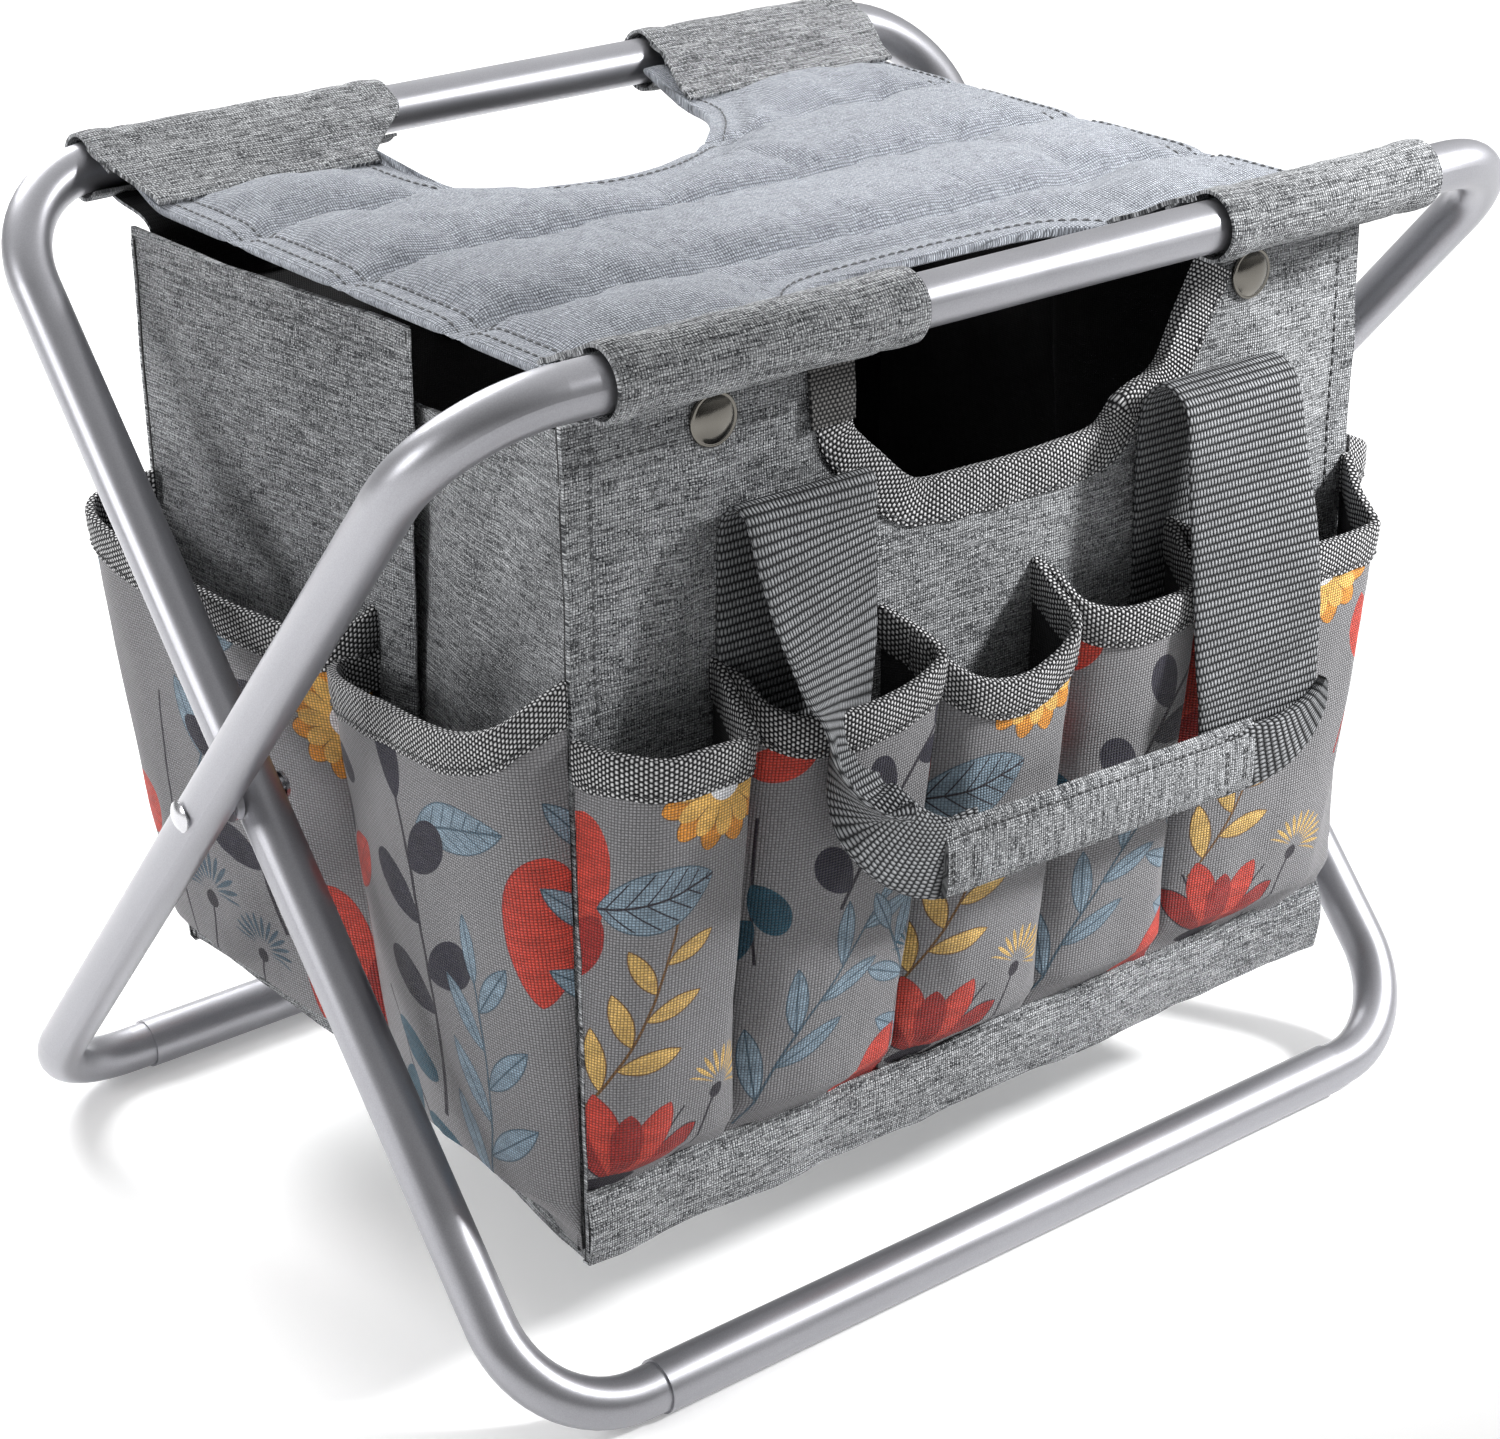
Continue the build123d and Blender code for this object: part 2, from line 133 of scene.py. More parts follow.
# ------------------------------------------------------------------ shader helpers
class Shader:
    """A node material, written as nested calls."""

    def __init__(self, name):
        self.material = bpy.data.materials.new(name)
        self.material.use_nodes = True
        self.tree = self.material.node_tree
        self.tree.nodes.clear()
        self.output = self.tree.nodes.new("ShaderNodeOutputMaterial")
        self.bsdf = self.tree.nodes.new("ShaderNodeBsdfPrincipled")
        self.tree.links.new(self.bsdf.outputs[0], self.output.inputs[0])

    def node(self, kind, *inputs, out=0, **settings):
        """Adds a node, links or sets its inputs in order, and gives one of its outputs."""
        node = self.tree.nodes.new("ShaderNode" + kind)
        for key, value in settings.items():
            setattr(node, key, value)
        for socket, value in zip(node.inputs, inputs):
            if isinstance(value, bpy.types.NodeSocket):
                self.tree.links.new(value, socket)
            elif value is not None:
                socket.default_value = value
        return node.outputs[out]

    def math(self, operation, *inputs):
        return self.node("Math", *inputs, operation=operation)

    def vector(self, operation, *inputs):
        out = 1 if operation in ("DOT_PRODUCT", "LENGTH") else 0
        return self.node("VectorMath", *inputs, operation=operation, out=out)

    def cloth_uv(self):
        """The UV map in metres of cloth."""
        return self.node("UVMap", uv_map="cloth")

    def position(self):
        """Object coordinates, in metres."""
        return self.node("TexCoord", out=3)

    def scaled(self, vector, x, y, z=1.0):
        return self.vector("MULTIPLY", vector, (x, y, z))

    def noise(self, vector, scale, detail=2.0, roughness=0.5):
        return self.node("TexNoise", vector, None, scale, detail, roughness, noise_dimensions="3D")

    def ramp(self, value, low, high, to_low=0.0, to_high=1.0):
        """Value stretched from low..high to to_low..to_high, and held there."""
        return self.node("MapRange", value, low, high, to_low, to_high)

    def mix(self, share, a, b):
        return self.node("MixRGB", share, a, b)

    def shade(self, colour, amount):
        """Colour times a grey level."""
        return self.vector("SCALE", colour, None, None, amount)

    def set(self, name, value):
        socket = self.bsdf.inputs[name]
        if isinstance(value, bpy.types.NodeSocket):
            self.tree.links.new(value, socket)
        else:
            socket.default_value = value
        return self

    def bump(self, height, distance, strength=1.0):
        """Bump of that height in metres."""
        node = self.tree.nodes.new("ShaderNodeBump")
        node.inputs["Strength"].default_value = strength
        node.inputs["Distance"].default_value = distance
        self.tree.links.new(height, node.inputs["Height"])
        self.tree.links.new(node.outputs[0], self.bsdf.inputs["Normal"])
        return self


def plain_weave(s, uv, pitch_u, pitch_v):
    """Plain weave: the height of its threads, and 1 where the upper thread runs along v, else 0."""
    split = s.tree.nodes.new("ShaderNodeSeparateXYZ")
    s.tree.links.new(uv, split.inputs[0])
    found = []
    for axis, pitch in ((0, pitch_u), (1, pitch_v)):
        found.append(s.math("SINE", s.math("MULTIPLY", split.outputs[axis], math.pi / pitch)))
    product = s.math("MULTIPLY", *found)
    return s.math("POWER", s.math("ABSOLUTE", product), 0.5), s.math("GREATER_THAN", product, 0.0)


def melange(name, dark, light, contrast=1.0, pitch=0.0009, slubs=0.35, sheen=0.15):
    """Heathered grey cloth: each thread changes from dark to light along its length."""
    s = Shader(name)
    uv = s.cloth_uv()
    height, upper = plain_weave(s, uv, pitch, pitch)
    warp = s.noise(s.scaled(uv, 2.1 / pitch, 210), 1.0, 2.0, 0.7)
    weft = s.noise(s.scaled(uv, 170, 2.1 / pitch), 1.0, 2.0, 0.7)
    slub = s.noise(s.scaled(uv, 60, 900), 1.0, 2.0, 0.6)
    cloud = s.noise(s.scaled(uv, 12, 12), 1.0, 3.0, 0.5)
    tone = s.math("MULTIPLY_ADD", upper, s.math("SUBTRACT", warp, weft), weft)
    tone = s.math("ADD", tone, s.math("MULTIPLY_ADD", slub, slubs, -slubs / 2))
    tone = s.math("ADD", tone, s.math("MULTIPLY_ADD", cloud, 0.14, -0.07))
    share = s.ramp(tone, 0.5 - 0.13 / contrast, 0.5 + 0.15 / contrast)
    colour = s.mix(share, (*dark, 1), (*light, 1))
    # painted shade in the gaps of the weave and painted highlight on the tops of its threads: the colour is
    # multiplied by the threads' height
    colour = s.shade(colour, s.ramp(height, 0.2, 0.95, 0.38, 1.12))
    s.set("Base Color", colour)
    s.set("Roughness", s.ramp(share, 0.0, 1.0, 0.94, 0.80))
    s.set("Specular IOR Level", 0.25)
    s.set("Sheen Weight", sheen)
    s.set("Sheen Roughness", 0.45)
    s.bump(s.math("ADD", height, s.math("MULTIPLY", tone, 0.6)), 0.0004)
    return s.material


def webbing_cloth(name, dark, light, pitch_u, pitch_v, gap=0.30):
    """Ribbed webbing: short raised threads in rows, light on their tops, with a dark gap between the rows;
    the light and dark are partly the tape's own yarns and partly painted highlight and shade.
    """
    s = Shader(name)
    uv = s.cloth_uv()
    split = s.tree.nodes.new("ShaderNodeSeparateXYZ")
    s.tree.links.new(uv, split.inputs[0])
    row = s.math("DIVIDE", split.outputs[1], pitch_v)
    odd = s.math("MODULO", s.math("FLOOR", row), 2.0)
    column = s.math("ADD", s.math("DIVIDE", split.outputs[0], pitch_u), s.math("MULTIPLY", odd, 0.5))
    rib = s.math("ABSOLUTE", s.math("SINE", s.math("MULTIPLY", row, math.pi)))
    cell = s.math("ABSOLUTE", s.math("SINE", s.math("MULTIPLY", column, math.pi)))
    height = s.math("POWER", s.math("MULTIPLY", rib, cell), 0.7)
    fibre = s.noise(s.scaled(uv, 2500, 700), 1.0, 2.0, 0.6)
    wear = s.noise(s.scaled(uv, 45, 45), 1.0, 3.0, 0.6)
    # the raised threads are light and the gaps dark: partly the tape's own dark and light yarns, partly
    # painted highlight on the raised threads and painted shade in the gaps
    share = s.ramp(s.math("ADD", height, s.math("MULTIPLY_ADD", fibre, 0.7, -0.35)), gap, 0.95)
    colour = s.mix(share, (*dark, 1), (*light, 1))
    colour = s.shade(colour, s.ramp(wear, 0.3, 0.7, 0.80, 1.16))
    s.set("Base Color", colour)
    s.set("Roughness", s.ramp(share, 0.0, 1.0, 0.85, 0.50))
    s.set("Specular IOR Level", 0.40)
    s.bump(height, 0.0007)
    return s.material


def plain_cloth(name, colour, pitch=0.0008, roughness=0.8, sheen=0.1):
    """Plain woven cloth of one colour."""
    s = Shader(name)
    uv = s.cloth_uv()
    height, _ = plain_weave(s, uv, pitch, pitch)
    cloud = s.noise(s.scaled(uv, 60, 60), 1.0, 4.0, 0.6)
    # painted shade in the gaps of the weave and painted highlight on the tops of its threads, times a random
    # cloudy change of tone
    tone = s.math("MULTIPLY", s.ramp(height, 0.2, 1.0, 0.7, 1.15), s.ramp(cloud, 0.3, 0.7, 0.8, 1.2))
    s.set("Base Color", s.shade(s.mix(0.0, (*colour, 1), (*colour, 1)), tone))
    s.set("Roughness", s.ramp(cloud, 0.3, 0.7, roughness - 0.08, roughness + 0.08))
    s.set("Sheen Weight", sheen)
    s.bump(height, 0.0002)
    return s.material


def metal(name, colour, roughness, metallic, grain):
    """Satin metal with faint flecks and a little wear."""
    s = Shader(name)
    at = s.position()
    fleck = s.noise(s.scaled(at, 2600, 2600, 2600), 1.0, 2.0, 0.6)
    cloud = s.noise(s.scaled(at, 22, 22, 22), 1.0, 4.0, 0.55)
    tone = s.math("MULTIPLY", s.ramp(fleck, 0.3, 0.7, 1 - grain, 1 + grain),
                  s.ramp(cloud, 0.3, 0.7, 0.96, 1.04))
    s.set("Base Color", s.shade(s.mix(0.0, (*colour, 1), (*colour, 1)), tone))
    s.set("Metallic", metallic)
    s.set("Roughness", s.ramp(cloud, 0.3, 0.7, roughness - 0.04, roughness + 0.05))
    s.bump(fleck, 0.00002, 0.5)
    return s.material


# ------------------------------------------------------------------ printed cloth
NAVY = (0.016, 0.014, 0.030)
INK = (0.020, 0.016, 0.026)
RED = (0.58, 0.055, 0.035)
DEEP_RED = (0.34, 0.022, 0.018)
ORANGE = (0.76, 0.30, 0.035)
YELLOW = (0.86, 0.50, 0.12)
OCHRE = (0.70, 0.45, 0.14)
BROWN = (0.16, 0.075, 0.020)
BLUE = (0.235, 0.320, 0.395)
SLATE = (0.060, 0.105, 0.145)
TEAL = (0.018, 0.075, 0.115)
WHITE = (0.85, 0.85, 0.88)
PRINT_GREY = (0.255, 0.252, 0.262)
EDGE = 0.00016


class Print:
    """A drawing of leaves and flowers on cloth, layer on layer, that repeats along the cloth."""

    def __init__(self, shader, uv, width, height):
        self.s, self.uv, self.width, self.height = shader, uv, width, height
        wash = shader.noise(shader.scaled(uv, 120, 260), 1.0, 3.0, 0.6)
        self.wash = shader.ramp(wash, 0.3, 0.7, 0.72, 1.22)
        self.colour = shader.mix(0.0, (*PRINT_GREY, 1), (*PRINT_GREY, 1))

    def local(self, centre, degrees):
        """The point seen from the motif: x along it and y across it."""
        s, a = self.s, math.radians(degrees)
        moved = s.vector("SUBTRACT", self.uv, (*centre, 0))
        half = (self.width / 2, self.height / 2, 1)
        moved = s.vector("WRAP", moved, half, tuple(-h for h in half))
        x = s.vector("DOT_PRODUCT", moved, (math.cos(a), math.sin(a), 0))
        y = s.vector("DOT_PRODUCT", moved, (-math.sin(a), math.cos(a), 0))
        return x, y

    def paint(self, mask, colour, washed=True):
        s = self.s
        ink = s.shade(s.mix(0.0, (*colour, 1), (*colour, 1)), self.wash) if washed else (*colour, 1)
        self.colour = s.mix(mask, self.colour, ink)

    def inside(self, depth):
        """1 where depth, in metres, is above zero, with an edge as soft as ink on cloth."""
        return self.s.ramp(depth, -EDGE, EDGE)

    def fill(self, depth, colour, outline=None, line=0.00045):
        """Paints where depth is above zero, with a thin outline if it has one."""
        if outline:
            self.paint(self.inside(depth), outline, washed=False)
            depth = self.s.math("SUBTRACT", depth, line)
        self.paint(self.inside(depth), colour)

    def blade(self, x, y, length, width, point, skew):
        """Depth inside one leaf: point is 0.5 for an oval and 1 for a sharp leaf, and skew above 1 moves
        its widest place towards the tip."""
        s = self.s
        t = s.math("DIVIDE", x, length)
        if skew != 1.0:
            t = s.math("POWER", s.math("MAXIMUM", t, 0.0), skew)
        hump = s.math("MULTIPLY", s.math("MULTIPLY", t, 4.0), s.math("SUBTRACT", 1.0, t))
        hump = s.math("POWER", s.math("MAXIMUM", hump, 0.0), point)
        return s.math("SUBTRACT", s.math("MULTIPLY_ADD", hump, width, -0.0003), s.math("ABSOLUTE", y))

    def leaf(self, centre, degrees, length, width, colour, point=0.7, vein=None, bend=0.0, skew=1.0,
             outline=None):
        """One leaf or petal, with an optional darker midrib and side veins."""
        s = self.s
        x, y = self.local(centre, degrees)
        if bend:
            y = s.math("SUBTRACT", y, s.math("MULTIPLY", s.math("MULTIPLY", x, x), bend))
        depth = self.blade(x, y, length, width, point, skew)
        self.fill(depth, colour, outline)
        if vein:
            rib = s.math("SUBTRACT", 0.00040, s.math("ABSOLUTE", y))
            slant = s.math("SUBTRACT", x, s.math("ABSOLUTE", y))
            comb = s.math("SUBTRACT", s.math("FRACT", s.math("DIVIDE", slant, 0.0062)), 0.5)
            side = s.math("MULTIPLY_ADD", s.math("ABSOLUTE", comb), -0.0062, 0.00034)
            lines = s.math("MINIMUM", s.math("MAXIMUM", rib, side), s.math("SUBTRACT", depth, 0.001))
            self.paint(self.inside(s.math("MAXIMUM", lines, s.math("MINIMUM", rib, depth))), vein,
                       washed=False)

    def stem(self, centre, degrees, length, colour, bend=0.0, half=0.00045):
        """A thin curved line."""
        s = self.s
        x, y = self.local(centre, degrees)
        y = s.math("SUBTRACT", y, s.math("MULTIPLY", s.math("MULTIPLY", x, x), bend))
        depth = s.math("MINIMUM", s.math("SUBTRACT", half, s.math("ABSOLUTE", y)), x)
        depth = s.math("MINIMUM", depth, s.math("SUBTRACT", length, x))
        self.paint(self.inside(depth), colour, washed=False)

    def spray(self, root, degrees, length, bend, leaves, colour, stem, outline=None, rib=None, point=0.7,
              skew=1.0, half=0.0005):
        """A curved stem with single leaves. Each leaf is (share of the stem, angle from it, length, half
        width), and positive angles are on its left."""
        s = self.s
        self.stem(root, degrees, length, stem, bend, half)
        depth, ribs = None, None
        a = math.radians(degrees)
        for share, turn, size, width in leaves:
            x = share * length
            y = bend * x * x
            spot = (root[0] + x * math.cos(a) - y * math.sin(a), root[1] + x * math.sin(a) + y * math.cos(a))
            heading = degrees + math.degrees(math.atan(2 * bend * x)) + turn
            along_leaf, across = self.local(spot, heading)
            one = self.blade(along_leaf, across, size, width, point, skew)
            depth = one if depth is None else s.math("MAXIMUM", depth, one)
            if rib:
                middle = s.math("MINIMUM", s.math("SUBTRACT", 0.00028, s.math("ABSOLUTE", across)), one)
                ribs = middle if ribs is None else s.math("MAXIMUM", ribs, middle)
        self.fill(depth, colour, outline)
        if rib:
            self.paint(self.inside(ribs), rib, washed=False)

    def rays(self, centre, degrees, inner, outer, count, width, colour, half_only=False, point=0.6,
             outline=None):
        """Petals or bristles round a centre."""
        s = self.s
        x, y = self.local(centre, degrees)
        away = s.math("SQRT", s.math("ADD", s.math("MULTIPLY", x, x), s.math("MULTIPLY", y, y)))
        turn = s.math("MULTIPLY", s.math("ARCTAN2", y, x), count / (2 * math.pi))
        cell = s.math("SUBTRACT", s.math("FRACT", s.math("ADD", turn, 100.0)), 0.5)
        off = s.math("MULTIPLY", s.math("MULTIPLY", cell, away), 2 * math.pi / count)
        depth = self.blade(s.math("SUBTRACT", away, inner), off, outer - inner, width, point, 1.6)
        if half_only:
            depth = s.math("MINIMUM", depth, s.math("MULTIPLY", x, 0.5))
        self.fill(depth, colour, outline)
        return away

    def daisy(self, centre, radius, petals, disc):
        """A flat flower with two rows of petals."""
        self.rays(centre, 0, radius * 0.10, radius, petals, radius * 0.22, ORANGE, point=0.5, outline=BROWN)
        self.rays(centre, 180 / petals, radius * 0.08, radius * 0.82, petals, radius * 0.16, YELLOW,
                  point=0.5)
        away = self.rays(centre, 0, radius * 0.15, radius * 0.80, petals, radius * 0.022, BROWN, point=0.9)
        self.paint(self.inside(self.s.math("SUBTRACT", radius * 0.27, away)), disc)

    def bristle_flower(self, centre, degrees, radius, colour, stalk, bend=6.0):
        """A seed head of fine bristles over a small cup, on a stalk."""
        self.stem(centre, degrees + 180, stalk, INK, bend=bend)
        self.rays(centre, degrees, radius * 0.15, radius, 22, radius * 0.075, colour, half_only=True)
        self.leaf(centre, degrees + 180, radius * 0.40, radius * 0.20, INK, point=0.5)

    def tulip(self, centre, degrees, size, colour, dark):
        """A fan of pointed petals on a dark base, with stamens between them."""
        for turn, share in ((-52, 0.95), (50, 0.98)):
            self.leaf(centre, degrees + turn, size * share, size * 0.15, dark, point=0.75, skew=1.5,
                      outline=INK)
        for turn in (-34, 34):
            self.stem(centre, degrees + turn, size * 0.98, INK, half=0.0004)
        for turn, share in ((-22, 0.98), (24, 1.05)):
            self.leaf(centre, degrees + turn, size * share, size * 0.18, colour, point=0.75, skew=1.5,
                      outline=DEEP_RED)
        self.leaf(centre, degrees + 2, size * 0.80, size * 0.17, dark, point=0.7, skew=1.4)
        self.leaf((centre[0] - size * 0.28, centre[1]), 0, size * 0.56, size * 0.10, INK, point=0.5)


def printed_cloth(name, width, height, draw):
    """Coated polyester with a visible grid of threads, printed with a repeating drawing."""
    s = Shader(name)
    uv = s.cloth_uv()
    art = Print(s, uv, width, height)
    draw(art)
    weave, upper = plain_weave(s, uv, 0.00105, 0.00095)
    fibre = s.noise(s.scaled(uv, 700, 700), 1.0, 2.0, 0.6)
    cloud = s.noise(s.scaled(uv, 16, 16), 1.0, 2.0, 0.5)
    # painted shade in the gaps of the weave and painted highlight on the tops of its threads, times a random
    # speckle of the fibres
    tone = s.math("MULTIPLY", s.ramp(weave, 0.15, 1.0, 0.42, 1.22), s.ramp(fibre, 0.3, 0.7, 0.90, 1.10))
    tone = s.math("MULTIPLY", tone, s.ramp(upper, 0.0, 1.0, 0.93, 1.07))
    tone = s.math("MULTIPLY", tone, s.ramp(cloud, 0.3, 0.7, 0.92, 1.08))
    s.set("Base Color", s.shade(art.colour, tone))
    s.set("Roughness", s.ramp(fibre, 0.3, 0.7, 0.52, 0.68))
    s.set("Specular IOR Level", 0.35)
    s.set("Sheen Weight", 0.05)
    s.bump(weave, 0.00045)
    return s.material


def alternate(count, first, last, angle, length, width, taper=0.25, start=1):
    """Leaves in turn on the left and right of a stem, shorter towards its tip, and one at the tip."""
    leaves = []
    for k in range(count):
        share = first + (last - first) * k / (count - 1)
        size = 1 - taper * k / count
        leaves.append((share, start * angle * (1 if k % 2 == 0 else -1), length * size, width * size))
    return leaves + [(0.98, 0, length * (1 - taper), width * (1 - taper))]


def draw_panel_print(art):
    """Two pockets' worth of drawing for the long sides."""
    art.leaf((0.010, 0.078), 86, 0.050, 0.0115, RED, point=0.5, skew=1.3)
    art.leaf((0.008, 0.072), 62, 0.026, 0.0070, DEEP_RED, point=0.6)
    art.spray((0.018, 0.030), 50, 0.066, 5.0, alternate(6, 0.12, 0.80, 46, 0.022, 0.0043), OCHRE, BROWN,
              outline=BROWN, point=0.8)
    art.leaf((0.019, 0.098), 8, 0.037, 0.0108, BLUE, point=0.8, vein=INK, bend=3.0, outline=SLATE)
    art.daisy((0.058, 0.136), 0.0215, 12, WHITE)
    art.stem((0.077, 0.062), 74, 0.050, DEEP_RED, bend=2.0)
    art.leaf((0.082, 0.096), 96, 0.026, 0.0050, RED, point=0.8)
    art.bristle_flower((0.064, 0.030), 64, 0.0140, OCHRE, 0.042)
    art.tulip((0.030, 0.003), 82, 0.032, RED, DEEP_RED)
    art.spray((0.142, 0.076), 66, 0.062, -3.0, [(0.10, 62, 0.021, 0.0062), (0.34, -52, 0.023, 0.0064),
              (0.52, 56, 0.022, 0.0062), (0.80, -46, 0.021, 0.0060), (0.97, 14, 0.019, 0.0056)], NAVY, INK,
              point=0.5, skew=1.25, half=0.0008)
    art.leaf((0.106, 0.128), 12, 0.022, 0.0064, RED, point=0.7)
    art.spray((0.112, 0.112), 268, 0.050, 2.0, [(0.45, 30, 0.020, 0.0060), (0.70, -38, 0.019, 0.0056)],
              TEAL, INK,
              point=0.5, skew=1.2)
    art.spray((0.116, 0.004), 70, 0.080, -2.6, alternate(6, 0.12, 0.88, 34, 0.027, 0.0044), BLUE, SLATE,
              outline=SLATE, rib=SLATE, point=0.8)
    art.spray((0.186, 0.004), 104, 0.062, 2.0, alternate(4, 0.20, 0.85, 40, 0.024, 0.0044), BLUE, SLATE,
              outline=SLATE, rib=SLATE, point=0.8)
    art.leaf((0.154, -0.002), 52, 0.032, 0.0068, RED, point=0.7, skew=1.4, outline=DEEP_RED)
    art.leaf((0.156, -0.002), 22, 0.030, 0.0062, DEEP_RED, point=0.7, skew=1.4)
    art.bristle_flower((0.176, 0.050), 74, 0.0105, TEAL, 0.036)


def draw_side_print(art):
    """The larger drawing on the two ends of the bag."""
    art.leaf((0.088, 0.128), 24, 0.044, 0.0085, BLUE, point=0.85, vein=SLATE, bend=-3.0, outline=SLATE)
    art.spray((0.010, 0.150), 318, 0.060, -5.0, [(0.10, -40, 0.019, 0.0052), (0.42, 46, 0.020, 0.0054),
              (0.62, -36, 0.019, 0.0052)], NAVY, INK, point=0.5, skew=1.25)
    art.spray((0.034, 0.052), 92, 0.070, 2.0, [(0.30, 58, 0.022, 0.0068), (0.48, -50, 0.028, 0.0082),
              (0.74, 52, 0.021, 0.0064), (0.95, -18, 0.026, 0.0072)], RED, DEEP_RED, outline=DEEP_RED,
              rib=DEEP_RED,
              point=0.6)
    art.spray((0.080, 0.024), 82, 0.112, 1.4, [(0.34, 62, 0.027, 0.0070), (0.46, -56, 0.030, 0.0078),
              (0.62, 54, 0.028, 0.0074), (0.78, -50, 0.028, 0.0074), (0.97, 4, 0.026, 0.0070)], NAVY, INK,
              point=0.5, skew=1.25, half=0.0009)
    art.spray((0.052, 0.058), 286, 0.052, 2.4, [(0.20, 42, 0.026, 0.0066), (0.52, -40, 0.027, 0.0068),
              (0.80, 30, 0.026, 0.0064)], TEAL, INK, point=0.55)
    art.spray((0.098, 0.000), 68, 0.084, 3.0, alternate(6, 0.12, 0.88, 38, 0.032, 0.0052), BLUE, SLATE,
              outline=SLATE, rib=SLATE, point=0.8)
    art.leaf((0.136, 0.084), 84, 0.050, 0.0125, RED, point=0.5, skew=1.3, outline=DEEP_RED)
    art.spray((0.166, 0.070), 108, 0.084, -3.0, alternate(6, 0.12, 0.88, 40, 0.030, 0.0052), BLUE, SLATE,
              outline=SLATE, rib=SLATE, point=0.8)
    art.spray((0.214, 0.096), 58, 0.060, 4.0, alternate(4, 0.15, 0.85, 42, 0.028, 0.0050), BLUE, SLATE,
              outline=SLATE, rib=SLATE, point=0.8)
    art.leaf((0.178, 0.084), 262, 0.024, 0.0095, RED, point=0.5)
    art.stem((0.196, 0.000), 98, 0.120, INK, bend=-1.5)
    art.spray((0.246, 0.046), 106, 0.092, -1.6, [(0.26, 58, 0.026, 0.0070), (0.42, -54, 0.028, 0.0074),
              (0.62, 52, 0.026, 0.0068), (0.80, -46, 0.026, 0.0068), (0.97, 6, 0.024, 0.0064)], NAVY, INK,
              point=0.5, skew=1.25, half=0.0009)
    art.bristle_flower((0.208, 0.050), 88, 0.0170, SLATE, 0.050, bend=-4.0)
    art.bristle_flower((0.232, 0.036), 72, 0.0140, SLATE, 0.040)
    art.leaf((0.262, 0.010), 82, 0.062, 0.0150, RED, point=0.5, skew=1.3, outline=DEEP_RED)
    art.leaf((0.276, 0.010), 64, 0.052, 0.0120, DEEP_RED, point=0.6, skew=1.3)
    art.daisy((0.286, 0.132), 0.0210, 12, WHITE)


# ------------------------------------------------------------------ materials
GREY_CLOTH = melange("grey_melange", (0.028, 0.031, 0.036), (0.62, 0.635, 0.655), 1.3)
SEAT_CLOTH = melange("seat_melange", (0.150, 0.162, 0.188), (0.60, 0.635, 0.70), 0.8, 0.0009, slubs=0.15)
PRINTED = printed_cloth("printed_cloth", 0.190, 0.40, draw_panel_print)
PRINTED_SIDE = printed_cloth("printed_side_cloth", 0.300, 0.40, draw_side_print)
WEBBING = webbing_cloth("webbing", (0.014, 0.015, 0.017), (0.36, 0.37, 0.385), 0.0013, 0.0026)
BINDING = webbing_cloth("binding_tape", (0.010, 0.010, 0.012), (0.74, 0.74, 0.75), 0.0017, 0.0013, gap=0.46)
TAPE_END = webbing_cloth("tape_end", (0.010, 0.010, 0.011), (0.16, 0.155, 0.15), 0.0016, 0.0013)
LINING = plain_cloth("black_lining", (0.006, 0.006, 0.007), roughness=0.75)
POCKET_LINING = plain_cloth("pocket_backing", (0.014, 0.014, 0.016), roughness=0.6)
THREAD = plain_cloth("sewing_thread", (0.120, 0.124, 0.132), 0.0008, 0.7)
DARK_THREAD = plain_cloth("dark_sewing_thread", (0.045, 0.046, 0.050), 0.0008, 0.7)
SILVER = metal("silver_tube", (0.36, 0.36, 0.385), 0.38, 0.80, 0.08)
NICKEL = metal("polished_nickel", (0.19, 0.18, 0.16), 0.17, 1.0, 0.03)
STEEL = metal("zinc_steel", (0.55, 0.55, 0.57), 0.24, 1.0, 0.04)


# ------------------------------------------------------------------ mesh helpers
def make_mesh(name, points, faces, materials, face_materials=None, cloth=None, seam=None, sharp=42):
    """A closed mesh from millimetre points. cloth holds each point's place on the flat cloth."""
    mesh = bpy.data.meshes.new(name)
    mesh.from_pydata((np.asarray(points, float) * MM).tolist(), [], [list(map(int, f)) for f in faces])
    for material in materials:
        mesh.materials.append(material)
    if face_materials is not None:
        mesh.polygons.foreach_set("material_index", np.asarray(face_materials, np.int32))
    work = bmesh.new()
    work.from_mesh(mesh)
    bmesh.ops.recalc_face_normals(work, faces=work.faces)
    work.to_mesh(mesh)
    work.free()
    mesh.polygons.foreach_set("use_smooth", np.ones(len(mesh.polygons), bool))
    mesh.set_sharp_from_angle(angle=math.radians(sharp))
    if cloth is not None:
        corner = np.zeros(len(mesh.loops), np.int32)
        mesh.loops.foreach_get("vertex_index", corner)
        uv = np.asarray(cloth, float)[corner] * MM
        if seam is not None:
            wrap_seam(mesh, uv, seam * MM)
        layer = mesh.uv_layers.new(name="cloth")
        layer.data.foreach_set("uv", uv.astype(np.float32).ravel())
    mesh.update()
    obj = bpy.data.objects.new(name, mesh)
    bpy.context.scene.collection.objects.link(obj)
    return obj


def wrap_seam(mesh, uv, around):
    """Faces that close a tube get the far side's u, so that the cloth doesn't run backwards there."""
    for polygon in mesh.polygons:
        own = slice(polygon.loop_start, polygon.loop_start + polygon.loop_total)
        if polygon.loop_total == 4 and np.ptp(uv[own, 0]) > around / 2:
            part = uv[own]
            part[part[:, 0] < around / 2, 0] += around


def along(points):
    """Distance along a line of points."""
    steps = np.linalg.norm(np.diff(points, axis=0), axis=1)
    return np.concatenate([[0.0], np.cumsum(steps)])


